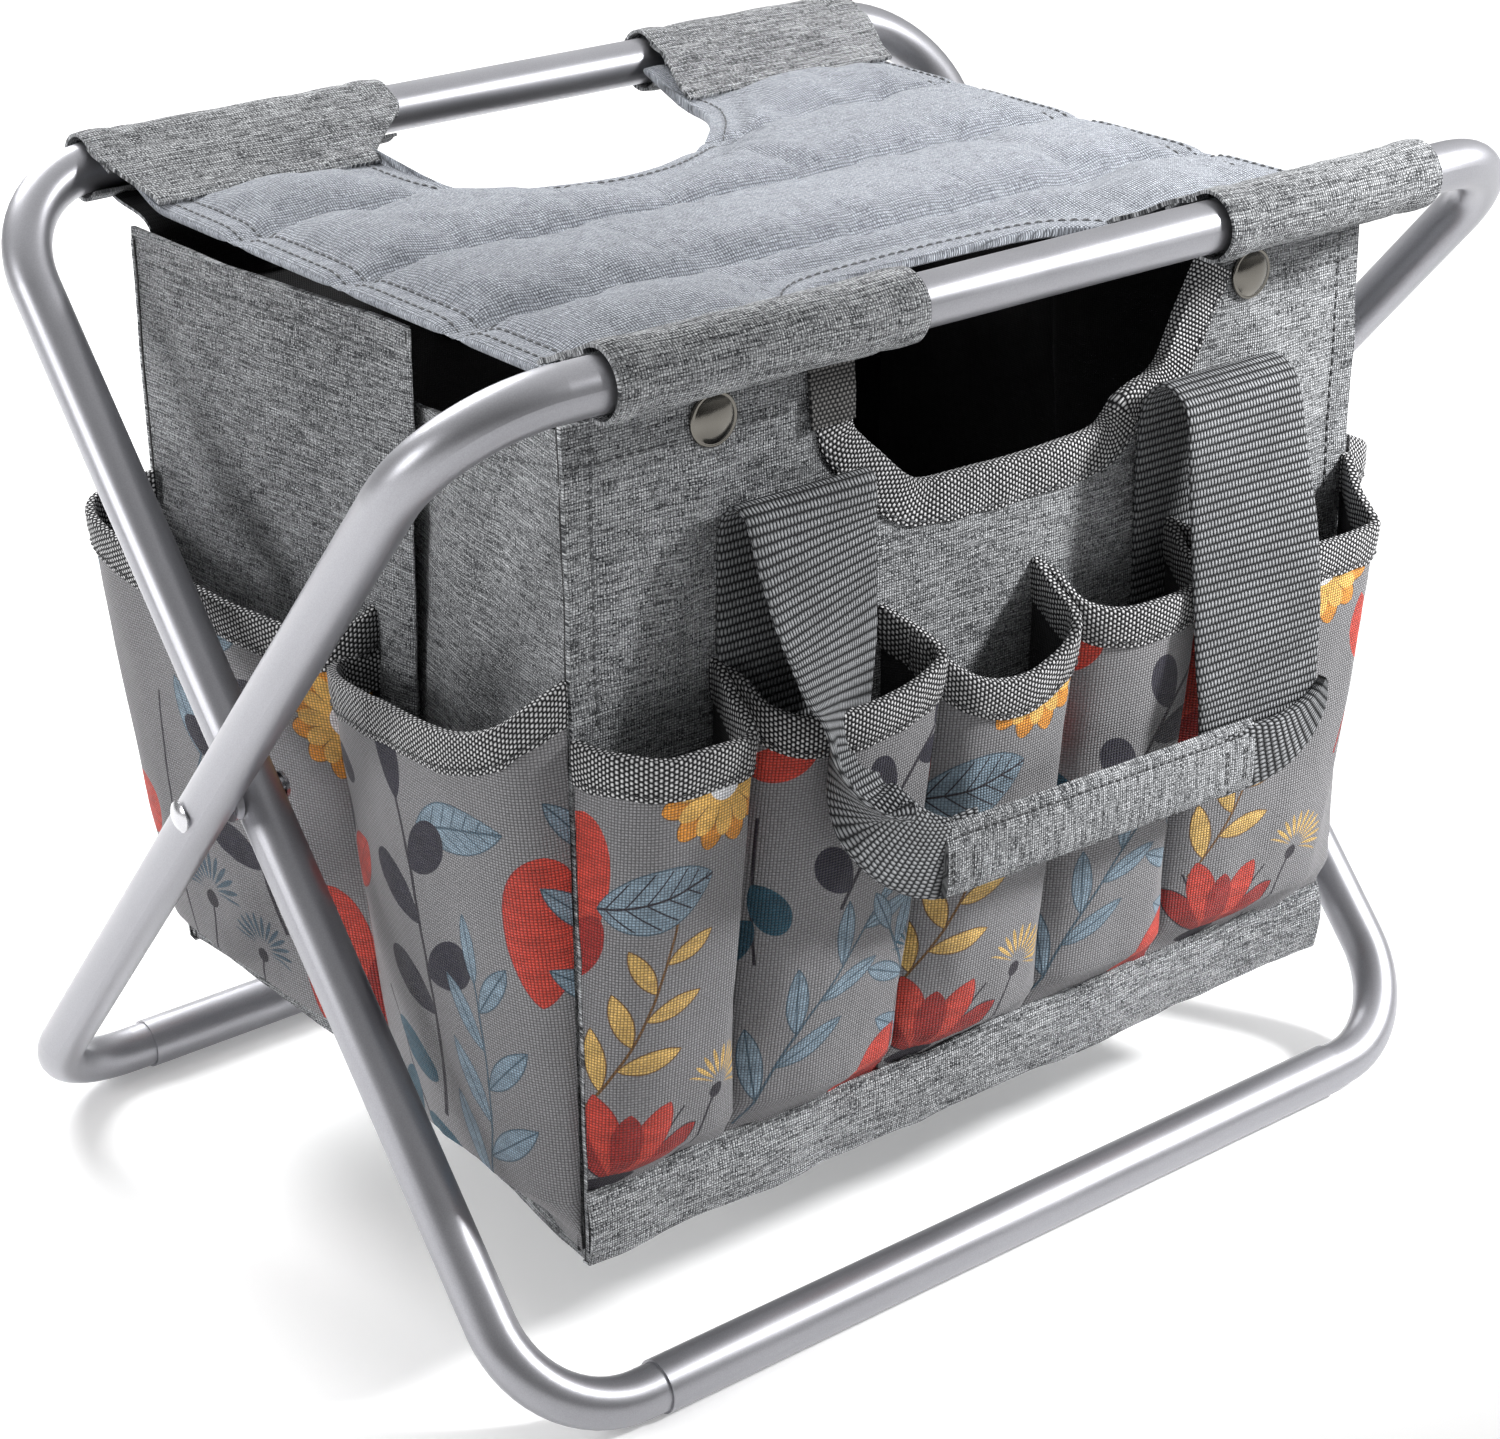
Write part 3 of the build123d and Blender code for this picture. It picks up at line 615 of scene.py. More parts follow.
def curve(points, count):
    """A smooth line through the points, in equal steps. Columns past the third are carried along."""
    points = np.asarray(points, float)
    ends = np.vstack([2 * points[0] - points[1], points, 2 * points[-1] - points[-2]])
    found = []
    for i in range(1, len(ends) - 2):
        a, b, c, d = ends[i - 1:i + 3]
        for t in np.arange(0, 1, 1 / 24):
            found.append(0.5 * (2 * b + (c - a) * t + (2 * a - 5 * b + 4 * c - d) * t ** 2
                                + (3 * b - a - 3 * c + d) * t ** 3))
    found = np.array(found + [points[-1]])
    width = min(found.shape[1], 3)
    s = along(found[:, :width])
    even = np.linspace(0, s[-1], count)
    return np.stack([np.interp(even, s, found[:, k]) for k in range(found.shape[1])], 1)


def straight(points, count):
    """Points in equal steps along a broken line."""
    points = np.asarray(points, float)
    s = along(points[:, :min(points.shape[1], 3)])
    even = np.linspace(0, s[-1], count)
    return np.stack([np.interp(even, s, points[:, k]) for k in range(points.shape[1])], 1)


def smooth(x):
    """From 0 to 1 with level ends."""
    x = np.clip(x, 0.0, 1.0)
    return x * x * (3 - 2 * x)


def grid_normals(points):
    """Unit normals of a grid whose rows are its first axis."""
    across = np.gradient(points, axis=1)
    up = np.gradient(points, axis=0)
    normal = np.cross(across, up)
    return normal / np.maximum(np.linalg.norm(normal, axis=2, keepdims=True), 1e-9)


def ripple(u, v, size, seed, crush=1.0):
    """Soft irregular waves between about -1 and 1 over cloth places in millimetres."""
    draw = np.random.RandomState(seed)
    total = np.zeros(np.broadcast(u, v).shape)
    for octave in range(3):
        for _ in range(4):
            turn = draw.uniform(0, math.pi)
            phase = draw.uniform(0, 2 * math.pi)
            k = 2 * math.pi / (size / 1.9 ** octave)
            wave = np.sin(k * (u * math.cos(turn) + crush * v * math.sin(turn)) + phase)
            total = total + wave * 0.55 ** octave
    return total / 3.6


def skin(name, points, cloth, thick, outside, inside=None, flip=False):
    """A closed skin from a grid: the grid is its outer face, and its inner face lies thick behind it."""
    rows, cols = points.shape[:2]
    normal = grid_normals(points) * (-1 if flip else 1)
    back = points - normal * thick
    every = np.concatenate([points.reshape(-1, 3), back.reshape(-1, 3)])
    n = rows * cols
    at = np.arange(n).reshape(rows, cols)
    outer = np.stack([at[:-1, :-1], at[:-1, 1:], at[1:, 1:], at[1:, :-1]], -1).reshape(-1, 4)
    loop = np.concatenate([at[0, :], at[1:, -1], at[-1, -2::-1], at[-2:0:-1, 0]])
    turn = np.roll(loop, -1)
    rim = np.stack([loop, turn, turn + n, loop + n], -1)
    faces = np.concatenate([outer, outer + n, rim])
    kinds = np.concatenate([np.zeros(len(outer)), np.ones(len(outer)), np.zeros(len(rim))])
    uv = np.concatenate([cloth.reshape(-1, 2)] * 2)
    return make_mesh(name, every, faces, [outside, inside or outside], kinds, uv)


def loft(name, sections, materials, sharp=42):
    """A closed body through equal closed sections, with flat ends."""
    sections = np.asarray(sections, float)
    count, size = sections.shape[:2]
    at = np.arange(count * size).reshape(count, size)
    ahead = np.roll(at, -1, axis=1)
    side = np.stack([at[:-1], ahead[:-1], ahead[1:], at[1:]], -1).reshape(-1, 4)
    faces = [list(f) for f in side] + [list(at[0, ::-1]), list(at[-1])]
    ring = np.linalg.norm(np.roll(sections, -1, axis=1) - sections, axis=2)
    u = np.cumsum(ring, axis=1) - ring
    v = along(sections.mean(axis=1))[:, None] * np.ones((1, size))
    girth = float(ring.sum(axis=1).mean())
    u = u * girth / ring.sum(axis=1, keepdims=True)
    uv = np.stack([u, v], -1).reshape(-1, 2)
    return make_mesh(name, sections.reshape(-1, 3), faces, materials, None, uv, seam=girth, sharp=sharp)


def sample(grid, row, col):
    """Points of a grid at fractional rows and columns."""
    row, col = np.broadcast_arrays(np.clip(row, 0, grid.shape[0] - 1.001),
                                   np.clip(col, 0, grid.shape[1] - 1.001))
    i, j = row.astype(int), col.astype(int)
    fr, fc = (row - i)[..., None], (col - j)[..., None]
    top = grid[i, j] * (1 - fc) + grid[i, j + 1] * fc
    low = grid[i + 1, j] * (1 - fc) + grid[i + 1, j + 1] * fc
    return top * (1 - fr) + low * fr


class Stitches:
    """Rows of short threads that lie on cloth. All rows of one group make one piece."""

    def __init__(self, name):
        self.name, self.points, self.faces = name, [], []

    def run(self, points, normals, pitch=3.8, length=2.9, radius=0.34):
        """Threads along a line, each sunk a little at its ends."""
        s = along(points)
        if s[-1] < pitch:
            return
        starts = np.arange(0.5, s[-1] - length, pitch)
        shares = np.array([0.0, 0.2, 0.5, 0.8, 1.0])
        sizes = np.array([0.35, 0.9, 1.0, 0.9, 0.35]) * radius
        lifts = np.array([-0.1, 0.75, 1.0, 0.75, -0.1]) * radius
        for start in starts:
            at = start + shares * length
            line = np.stack([np.interp(at, s, points[:, k]) for k in range(3)], 1)
            up = np.stack([np.interp(at, s, normals[:, k]) for k in range(3)], 1)
            up /= np.maximum(np.linalg.norm(up, axis=1, keepdims=True), 1e-9)
            ahead = line[-1] - line[0]
            ahead = ahead / max(np.linalg.norm(ahead), 1e-9)
            side = np.cross(up, ahead)
            base = sum(len(p) for p in self.points)
            rings = [line + up * lifts[:, None] + (side * c + up * d) * sizes[:, None]
                     for c, d in ((1, 0), (0, 1), (-1, 0), (0, -1))]
            self.points.append(np.stack(rings, 1).reshape(-1, 3))
            for k in range(4):
                for j in range(4):
                    a, b = base + 4 * k + j, base + 4 * k + (j + 1) % 4
                    self.faces.append((a, b, b + 4, a + 4))
            self.faces.append(tuple(base + j for j in (3, 2, 1, 0)))
            self.faces.append(tuple(base + 16 + j for j in range(4)))

    def along_grid(self, grid, rows, cols, flip=False, **settings):
        """A run over a grid between fractional rows and columns."""
        points = sample(grid, rows, cols)
        normals = sample(grid_normals(grid) * (-1 if flip else 1), rows, cols)
        self.run(points, normals, **settings)

    def make(self, material=None):
        points = np.concatenate(self.points)
        cloth = points[:, [0, 2]] + points[:, [1, 1]]
        return make_mesh(self.name, points, self.faces, [material or THREAD], cloth=cloth, sharp=80)


def on_side(points, side):
    """Front pieces stay, and rear ones are turned to the other side."""
    points = np.array(points, float)
    if side == REAR:
        points[..., 1] *= -1
    return points


def crease(x, z, a, b, width):
    """1 along the line from a to b, falling away over width."""
    a, b = np.array(a, float), np.array(b, float)
    d = b - a
    t = np.clip(((x - a[0]) * d[0] + (z - a[1]) * d[1]) / (d @ d), 0, 1)
    away = np.hypot(x - a[0] - t * d[0], z - a[1] - t * d[1])
    return np.exp(-(away / width) ** 2) * np.sin(math.pi * np.clip(t, 0.02, 0.98)) ** 0.5


def attach(obj, body, slot, *replaced, squash=None):
    """Rides on a body and hides the CAD nodes that it stands for. The slot argument is not used."""
    if squash:
        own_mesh(obj)
    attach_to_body(obj, body)
    if replaced:
        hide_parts(*replaced)
    return obj


BAG_SQUASH = {"axis": (0, 1, 0), "anchor": (0, -0.1177, 0), "keep": 0.04}
SEAT_SQUASH = {"axis": (0, 1, 0), "anchor": (0, -0.131, 0), "keep": 0.155}


# ------------------------------------------------------------------ metal frame
def metal_frame():
    """Better finishes on the CAD tubes, floor bars, rivets, spacers and snap sockets."""
    finishes = {"tube": SILVER, "rivet": STEEL, "spacer": STEEL, "snap": NICKEL}
    owners = {"outer_hoop": "tube", "inner_hoop": "tube", "outer_floor_bar": "tube",
              "inner_floor_bar": "tube", "pivot_rivet_left": "rivet", "pivot_rivet_right": "rivet",
              "pivot_spacer_left": "spacer", "pivot_spacer_right": "spacer",
              "front_snap_sockets": "snap", "rear_snap_sockets": "snap"}
    for node, kind in owners.items():
        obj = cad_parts[node]
        obj.data.materials.clear()
        obj.data.materials.append(finishes[kind])


metal_frame()


# ------------------------------------------------------------------ bag panels
def cutout_edge(count=120):
    """The edge of the opening in a panel's top, from its left end down and round to its right."""
    points = [(-59, BAG_TOP), (-58.2, 302), (-57.5, 295), (-56, 290), (-51, 284.5), (-45, 279), (-39, 273),
              (-33.5, 268.5), (-27, 266.5), (-15, 266.2), (3, 265.6), (22, 266), (36, 266.6), (44, 268),
              (48, 271.5), (51, 275), (57, 277.5), (65, 279.5), (70, 283), (74, 289), (78, 297), (82, 304),
              (87, BAG_TOP)]
    return curve(points, count)


EDGE_LINE = cutout_edge(400)


def panel_top(x):
    """Height of a panel's top edge over its length."""
    inside = (x > EDGE_LINE[0, 0]) & (x < EDGE_LINE[-1, 0])
    order = np.maximum.accumulate(EDGE_LINE[:, 0])
    return np.where(inside, np.interp(x, order, EDGE_LINE[:, 1]), BAG_TOP)


def panel_swell(x, z, side):
    """How far a panel's cloth stands out from its flat face."""
    level = (z - BAG_LOW) / (BAG_TOP - BAG_LOW)
    out = 2.2 * np.cos(math.pi * x / (2.1 * BAG_HALF)) * np.sin(math.pi * np.clip(level, 0, 1))
    out = out + 0.9 * ripple(x, z, 120, 11 + side) + 0.35 * ripple(x, z, 34, 17 + side)
    folds = [((-SNAP_X, 300), (-128, 232), 6, 1.6), ((-SNAP_X, 298), (-90, 240), 7, 1.1),
             ((SNAP_X, 300), (132, 240), 7, 1.5), ((-50, 268), (-62, 232), 6, -1.4),
             ((52, 264), (66, 232), 8, -1.5), ((-20, 262), (-14, 238), 7, 1.0),
             ((22, 262), (30, 236), 8, 0.9),
             ((-150, 290), (-146, 225), 4, -1.3), ((150, 290), (147, 225), 5, -1.1)]
    for a, b, width, depth in folds:
        out = out + depth * crease(x, z, a, b, width)
    return out


def panel_grid(side):
    """A panel's outer face as a grid of columns that end at the opening's edge."""
    steep = EDGE_LINE[::6, 0]
    plain = np.concatenate([np.arange(-BAG_HALF, -60, 3.5), np.arange(88, BAG_HALF, 3.5), [BAG_HALF]])
    x = np.unique(np.round(np.concatenate([plain, steep]), 2))
    x = x[np.concatenate([[True], np.diff(x) > 0.35])]
    low = BAG_LOW + (REAR_RAISE if side == REAR else 0)
    v = np.linspace(0, 1, 74)[:, None]
    top = panel_top(x)[None, :]
    z = low + v * (top - low)
    xs = np.broadcast_to(x[None, :], z.shape)
    y = -(PANEL_FACE[side] + panel_swell(xs, z, side))
    return np.stack([xs, y, z], -1)


def bag_panel(side):
    """Panel, lining, hems and stitches of one long side."""
    end, body, flip = END[side], END[side] + "_bag", side == REAR
    grid = on_side(panel_grid(side), side)
    cloth = grid[..., [0, 2]]
    normal = grid_normals(grid) * (-1 if flip else 1)
    attach(skin(f"{end}_panel_cloth", grid, cloth, PANEL_THICK, GREY_CLOTH, LINING, flip), body, "bag_fabric",
           f"{end}_panel")
    behind = grid - normal * (PANEL_THICK + 0.15)
    attach(skin(f"{end}_lining_cloth", behind, cloth, LINING_THICK, LINING, LINING, flip), body, "lining",
           f"{end}_lining")
    sewing = Stitches(f"{end}_panel_stitches")
    for x0, x1 in ((-BAG_HALF + 2, -SNAP_X - 9), (-SNAP_X + 9, -76), (101, SNAP_X - 9),
                   (SNAP_X + 9, BAG_HALF - 2)):
        xs = np.linspace(x0, x1, 40)
        surface_run(sewing, side, xs, np.full(40, BAG_TOP - 12.5))
    for sign in (-1, 1):
        zs = np.linspace(BAG_TOP - 3, POCKET_TOP + 5, 80)
        surface_run(sewing, side, np.full(80, sign * (BAG_HALF - 9)), zs)
    line = cutout_edge(240)
    inward = edge_inward(line)
    away = line + inward * 11.5
    away = away[away[:, 1] < BAG_TOP - 2]
    surface_run(sewing, side, away[:, 0], away[:, 1], lift=1.0)
    attach(sewing.make(), body, "bag_fabric")


def surface_run(sewing, side, xs, zs, lift=0.1, **settings):
    """Stitches at places on a panel's face."""
    y = -(PANEL_FACE[side] + panel_swell(xs, zs, side) + lift)
    points = on_side(np.stack([xs, y, zs], 1), side)
    normals = np.tile(np.array([0.0, float(side), 0.0]), (len(points), 1))
    sewing.run(points, normals, **settings)


def edge_inward(line):
    """Unit vectors in XZ that point from the opening's edge into the cloth."""
    ahead = np.gradient(line, axis=0)
    ahead /= np.maximum(np.linalg.norm(ahead, axis=1, keepdims=True), 1e-9)
    return np.stack([ahead[:, 1], -ahead[:, 0]], 1)


def cutout_binding(side):
    """Tape folded over the edge of the opening."""
    end = END[side]
    line = cutout_edge(110)
    inward = edge_inward(line)
    uneven = 0.6 * ripple(along(line), along(line) * 0, 26, 5 + side)
    sections = []
    for k, (spot, into) in enumerate(zip(line, inward)):
        wide = 13.0 + uneven[k]
        puff = 0.35 * math.sin(k * 0.9)
        ring = []
        for depth, out in ((wide, 0.15), (wide, 1.0), (wide * 0.6, 1.35 + puff), (2.0, 1.5), (-0.6, 1.1),
                           (-1.3, -0.8), (-0.6, -3.6), (2.0, -4.0), (wide * 0.6, -3.9), (wide, -3.6),
                           (wide, -2.6), (0.3, -2.6), (0.3, 0.15)):
            x, z = spot + into * depth
            z = min(z, BAG_TOP + 0.6)
            face = PANEL_FACE[side] + panel_swell(np.array(x), np.array(z), side)
            ring.append((x, -(face + out), z))
        sections.append(ring)
    obj = loft(f"{end}_opening_tape", on_side(sections, side), [BINDING])
    attach(obj, end + "_bag", "binding", f"{end}_cutout_binding")
    start = line[0]
    rows = []
    for depth in np.linspace(-2.2, 14.5, 12):
        levels = np.linspace(BAG_TOP - 19.0, BAG_TOP + 0.4, 12)
        xs = start[0] - depth + 0 * levels
        out = 1.9 + 0.2 * ripple(xs, levels, 12, 9)
        rows.append(np.stack([xs, -(PANEL_FACE[side] + panel_swell(xs, levels, side) + out), levels], -1))
    grid = on_side(rows, side)
    obj = skin(f"{end}_tape_end", grid, grid[..., [0, 2]], 0.9, TAPE_END, TAPE_END, side == FRONT)
    attach(obj, end + "_bag", "binding")


def base_band(side):
    """The plain grey band sewn over the pockets' lower edge, turned under the bag at its foot."""
    end, flip = END[side], side == REAR
    low = BAG_LOW + (REAR_RAISE if side == REAR else 0)
    top = BAND_TOP + 3 + (REAR_RAISE if side == REAR else 0)
    xs = np.linspace(-BAG_HALF - 0.6, BAG_HALF + 0.6, 110)
    levels = np.concatenate([[-1.0], np.linspace(0, 1, 12)])
    rows = []
    for level in levels:
        z = np.full_like(xs, low + max(level, 0) * (top - low) - (0.6 if level < 0 else 0))
        out = 1.2 + 1.6 * math.sin(math.pi * min(max(level, 0), 1)) + 0.5 * ripple(xs, z, 42, 23 + side)
        if level < 0:
            out = out * 0 - 2.5
        z = z + 0.8 * ripple(xs, xs * 0, 60, 31 + side)
        y = -(PANEL_FACE[side] + panel_swell(xs, np.maximum(z, low), side) + out)
        rows.append(np.stack([xs, y, z], -1))
    grid = on_side(rows, side)
    cloth = grid[..., [0, 2]]
    attach(skin(f"{end}_band_cloth", grid, cloth, 0.9, GREY_CLOTH, LINING, flip), end + "_bag", "bag_fabric",
           f"{end}_base_band")
    sewing = Stitches(f"{end}_band_stitches")
    cols = np.linspace(1, 108, 300)
    sewing.along_grid(grid, np.full(300, 11.2), cols, flip)
    attach(sewing.make(), end + "_bag", "bag_fabric")


def snap_caps(side):
    """The domed caps of the snaps, each with a rolled edge."""
    end, face = END[side], PANEL_FACE[side] + 0.3
    # radius as a share of the cap's, and distance out
    profile = curve([(0.80, -0.6), (0.98, -0.4), (1.06, 0.5), (1.04, 1.2), (0.97, 1.35), (0.93, 1.15),
                     (0.88, 1.4),
                     (0.70, 2.1), (0.45, 2.7), (0.20, 3.0), (0.03, 3.08)], 34)
    turn = np.linspace(0, 2 * math.pi, 49)[:-1]
    for sign, name in ((-1, "left"), (1, "right")):
        sections = []
        for share, out in profile:
            r = share * SNAP_R
            ring = [(sign * SNAP_X + r * math.cos(a), -(face + out), SNAP_Z + r * math.sin(a)) for a in turn]
            sections.append(ring)
        obj = loft(f"{end}_snap_cap_{name}", on_side(sections, side), [NICKEL], sharp=80)
        attach(obj, end + "_bag", "snap", *([f"{end}_snap_caps"] if sign < 0 else []))


def hangers(side):
    """Short tabs that hang the bag's corners from the sleeves."""
    end, flip = END[side], side == REAR
    low, high = cad(f"{end}_hangers")
    back = min(abs(low[1]), abs(high[1]))
    for sign, name in ((-1, "left"), (1, "right")):
        xs = np.linspace(94, 152, 30) * sign
        profile = curve([(RAIL_Y - 3.0, RAIL_Z - 9.2), (RAIL_Y - 9, RAIL_Z - 11), (back + 6, BAG_TOP + 4.5),
                         (back + 1.2, BAG_TOP - 2), (back + 0.9, BAG_TOP - 18)], 26)
        rows = [np.stack([xs, np.full(30, -y) + 0.3 * ripple(xs, xs * 0 + z, 22, 3), np.full(30, z)], -1)
                for y, z in profile]
        grid = on_side(rows, side)
        cloth = grid[..., [0, 2]]
        obj = skin(f"{end}_hanger_{name}", grid, cloth, 1.1, GREY_CLOTH, LINING, (sign > 0) != flip)
        attach(obj, end + "_bag", "bag_fabric", *([f"{end}_hangers"] if sign < 0 else []))


for SIDE in (FRONT, REAR):
    bag_panel(SIDE)
    cutout_binding(SIDE)
    base_band(SIDE)
    snap_caps(SIDE)
    hangers(SIDE)


# ------------------------------------------------------------------ bag ends and bottom
def foot(y):
    """Height of the bag's lower edge, which rises a little towards the rear."""
    return BAG_LOW + REAR_RAISE * smooth((y + 20) / 120)


def gusset(sign, name):
    """One end of the bag, with the deep pleat along its middle: the rear half laps over the front."""
    front_y, rear_y = -PANEL_FACE[FRONT] + 0.8, PANEL_FACE[REAR] - 0.8
    top_line = [(-BAG_HALF, front_y, 312), (-154, -94, 305), (-148, -54, 296), (-141.0, -22, 290),
                (-138.5, -4, 290), (-140.0, 1.5, 296), (-142.0, -6, 304), (-144.0, -24, 313),
                (-146.0, -31, 316),
                (-147.6, -27, 316.5), (-150.0, 8, 316.0), (-154.0, 62, 315.5), (-BAG_HALF + 0.2, rear_y, 317)]
    low_line = [(-BAG_HALF, front_y, 0), (-154.5, -88, 0), (-149, -45, 0), (-142.5, -15, 0),
                (-141.0, -8, 0), (-141.3, -6, 0), (-141.6, -6.6, 0), (-142, -8.5, 0), (-142.6, -10.0, 0),
                (-143.2, -8.5, 0), (-149, 28, 0), (-154.5, 72, 0), (-BAG_HALF, rear_y, 0)]
    top, low = curve(top_line, 150), curve(low_line, 150)
    s = along(top[:, :2])
    rows = []
    for v in np.linspace(0, 1, 64):
        plan = low[:, :2] * (1 - v ** 0.6) + top[:, :2] * v ** 0.6
        floor = foot(plan[:, 1])
        z = floor + v * (top[:, 2] - floor)
        wave = 1.1 * ripple(s, z, 95, 41) + 0.4 * ripple(s, z, 30, 43)
        wave = wave * np.sin(math.pi * np.clip(s / s[-1], 0, 1)) ** 0.5
        dip = 1.6 * crease(plan[:, 1], z, (-95, 300), (-60, 230), 9)
        dip = dip - 1.5 * crease(plan[:, 1], z, (90, 300), (70, 235), 10)
        rows.append(np.stack([plan[:, 0] - wave + dip, plan[:, 1], z], -1))
    grid = np.array(rows)
    grid[..., 0] *= -sign
    cloth = np.stack([np.broadcast_to(s, grid.shape[:2]), grid[..., 2]], -1)
    flip = sign < 0
    attach(skin(f"gusset_{name}_cloth", grid, cloth, 1.5, GREY_CLOTH, LINING, flip), "front_bag",
           "bag_fabric",
           f"gusset_{name}", squash=BAG_SQUASH)
    sewing = Stitches(f"gusset_{name}_stitches")
    cols = np.linspace(76, 147, 160)
    sewing.along_grid(grid, np.full(160, 60.6), cols, flip)
    cols = np.linspace(2, 40, 90)
    sewing.along_grid(grid, np.full(90, 60.6), cols, flip)
    attach(sewing.make(), "front_bag", "bag_fabric", squash=BAG_SQUASH)


def bottom():
    """The bag's floor, slack between its edges."""
    front_y, rear_y = GUSSET_LOW[1], GUSSET_HIGH[1]
    ys = np.linspace(front_y + 0.3, rear_y - 0.3, 60)
    share = np.linspace(-1, 1, 76)
    rows = []
    for y in ys:
        pull = 1 - abs(y - FOLD_Y) / (rear_y - FOLD_Y if y > FOLD_Y else FOLD_Y - front_y)
        half = BAG_HALF - 2 - (BAG_HALF - FOLD_X) * max(pull, 0)
        x = share * half
        droop = 2.5 * np.cos(share * math.pi / 2) * math.cos(math.pi * (y - FOLD_Y) / 250)
        z = foot(np.full_like(x, y)) + 3.0 - droop + 0.6 * ripple(x, x * 0 + y, 70, 61)
        rows.append(np.stack([x, np.full_like(x, y), z], -1))
    grid = np.array(rows)
    cloth = grid[..., :2]
    attach(skin("bag_bottom_cloth", grid, cloth, 1.6, LINING, GREY_CLOTH), "front_bag", "bag_fabric",
           "bag_bottom", squash=BAG_SQUASH)


gusset(-1, "left")
gusset(1, "right")
bottom()


# ------------------------------------------------------------------ pockets
class Pocket:
    """A pocket that bulges from a straight chord.

    Its two profiles, at the foot and at the mouth, are lists of (share of the chord, distance out), and
    the mouth's also gives the height of its edge."""

    def __init__(self, a, b, out, low, foot_profile, mouth_profile, seed, columns=64, rows=44, centre=0.45):
        a, b = np.array(a, float), np.array(b, float)
        chord = b - a
        length = np.linalg.norm(chord)
        chord = chord / length
        out = np.array(out, float)
        mouth = curve([(p[0] * length, p[1], p[2]) for p in mouth_profile], columns)
        base = curve([(p[0] * length, p[1]) for p in foot_profile], columns)
        grid, cloth = [], []
        for v in np.linspace(0, 1, rows):
            w = v ** 0.72
            run = base[:, 0] * (1 - w) + mouth[:, 0] * w
            stand = base[:, 1] * (1 - w) + mouth[:, 1] * w
            stand = stand * smooth(v / 0.10) + 0.3
            floor = low(a, b, run / length) if callable(low) else low
            z = floor + v * (mouth[:, 2] - floor)
            plan = a[None, :] + run[:, None] * chord + stand[:, None] * out
            s = along(plan)
            line = np.concatenate([plan, z[:, None]], 1)
            grid.append(line)
            middle = np.interp(centre * length, run, s) if np.all(np.diff(run) > 0) else s[-1] * centre
            cloth.append(np.stack([s - middle, np.broadcast_to(z, s.shape)], 1))
        self.grid, self.cloth = np.array(grid), np.array(cloth)
        u, z = self.cloth[..., 0], self.cloth[..., 1]
        edge = np.sin(math.pi * np.linspace(0, 1, columns))[None, :] ** 0.5
        level = np.linspace(0, 1, rows)[:, None]
        wave = 1.1 * ripple(u, z, 70, seed, 0.5) + 0.45 * ripple(u, z, 24, seed + 1, 0.6)
        self.grid[..., :2] += (wave * edge * (1 - 0.55 * level))[..., None] * out

    def mirrored(self, axis):
        self.grid[..., axis] *= -1
        return self


def pocket_piece(pocket, name, body, printed, flip, node, shift, squash=None):
    """The printed cloth of a pocket. shift slides the print along the cloth."""
    cloth = pocket.cloth + np.array(shift)
    obj = skin(f"{name}_cloth", pocket.grid, cloth, 1.3, printed, POCKET_LINING, flip)
    return attach(obj, body, "printed_fabric", node, squash=squash)


def mouth_tape(pocket, name, body, flip, sewing, nodes=(), squash=None):
    """Tape folded over a pocket's mouth, with its row of stitches."""
    grid = pocket.grid
    rows, cols = grid.shape[:2]
    normal = grid_normals(grid) * (-1 if flip else 1)
    top = grid[-1]
    up = grid[-1] - grid[-3]
    up /= np.linalg.norm(up, axis=1, keepdims=True)
    height = np.linalg.norm(grid[-1] - grid[0], axis=1)
    col = np.arange(cols)
    reach = 12.5 + 0.5 * ripple(col * 2.0, col * 0, 20, len(name))
    low_row = (rows - 1) * (1 - reach / height)
    mid_row = (rows - 1) * (1 - reach * 0.5 / height)
    low, mid = sample(grid, low_row, col), sample(grid, mid_row, col)
    n_low, n_mid, n_top = sample(normal, low_row, col), sample(normal, mid_row, col), normal[-1]
    puff = (0.25 * ripple(col * 3.0, col * 0, 14, 7 + len(name)))[:, None]
    inner = 1.3
    parts = [low + n_low * 0.05, low + n_low * 0.75, mid + n_mid * (1.25 + puff), top + n_top * 1.15,
             top + up * 0.9 + n_top * 0.5, top + up * 0.9 - n_top * (inner + 0.5),
             top - n_top * (inner + 1.15),
             mid - n_mid * (inner + 1.25 + puff), low - n_low * (inner + 0.75), low - n_low * (inner + 0.05),
             top - up * 0.4 - n_top * (inner + 0.05), top - up * 0.4 + n_top * 0.05]
    obj = loft(name, np.stack(parts, 1), [BINDING])
    attach(obj, body, "binding", *nodes, squash=squash)
    seam = sample(grid, low_row + (mid_row - low_row) * 0.35, col)
    sewing.run((seam + n_low * 1.05)[2:-2], n_low[2:-2], pitch=3.4, length=2.6, radius=0.28)


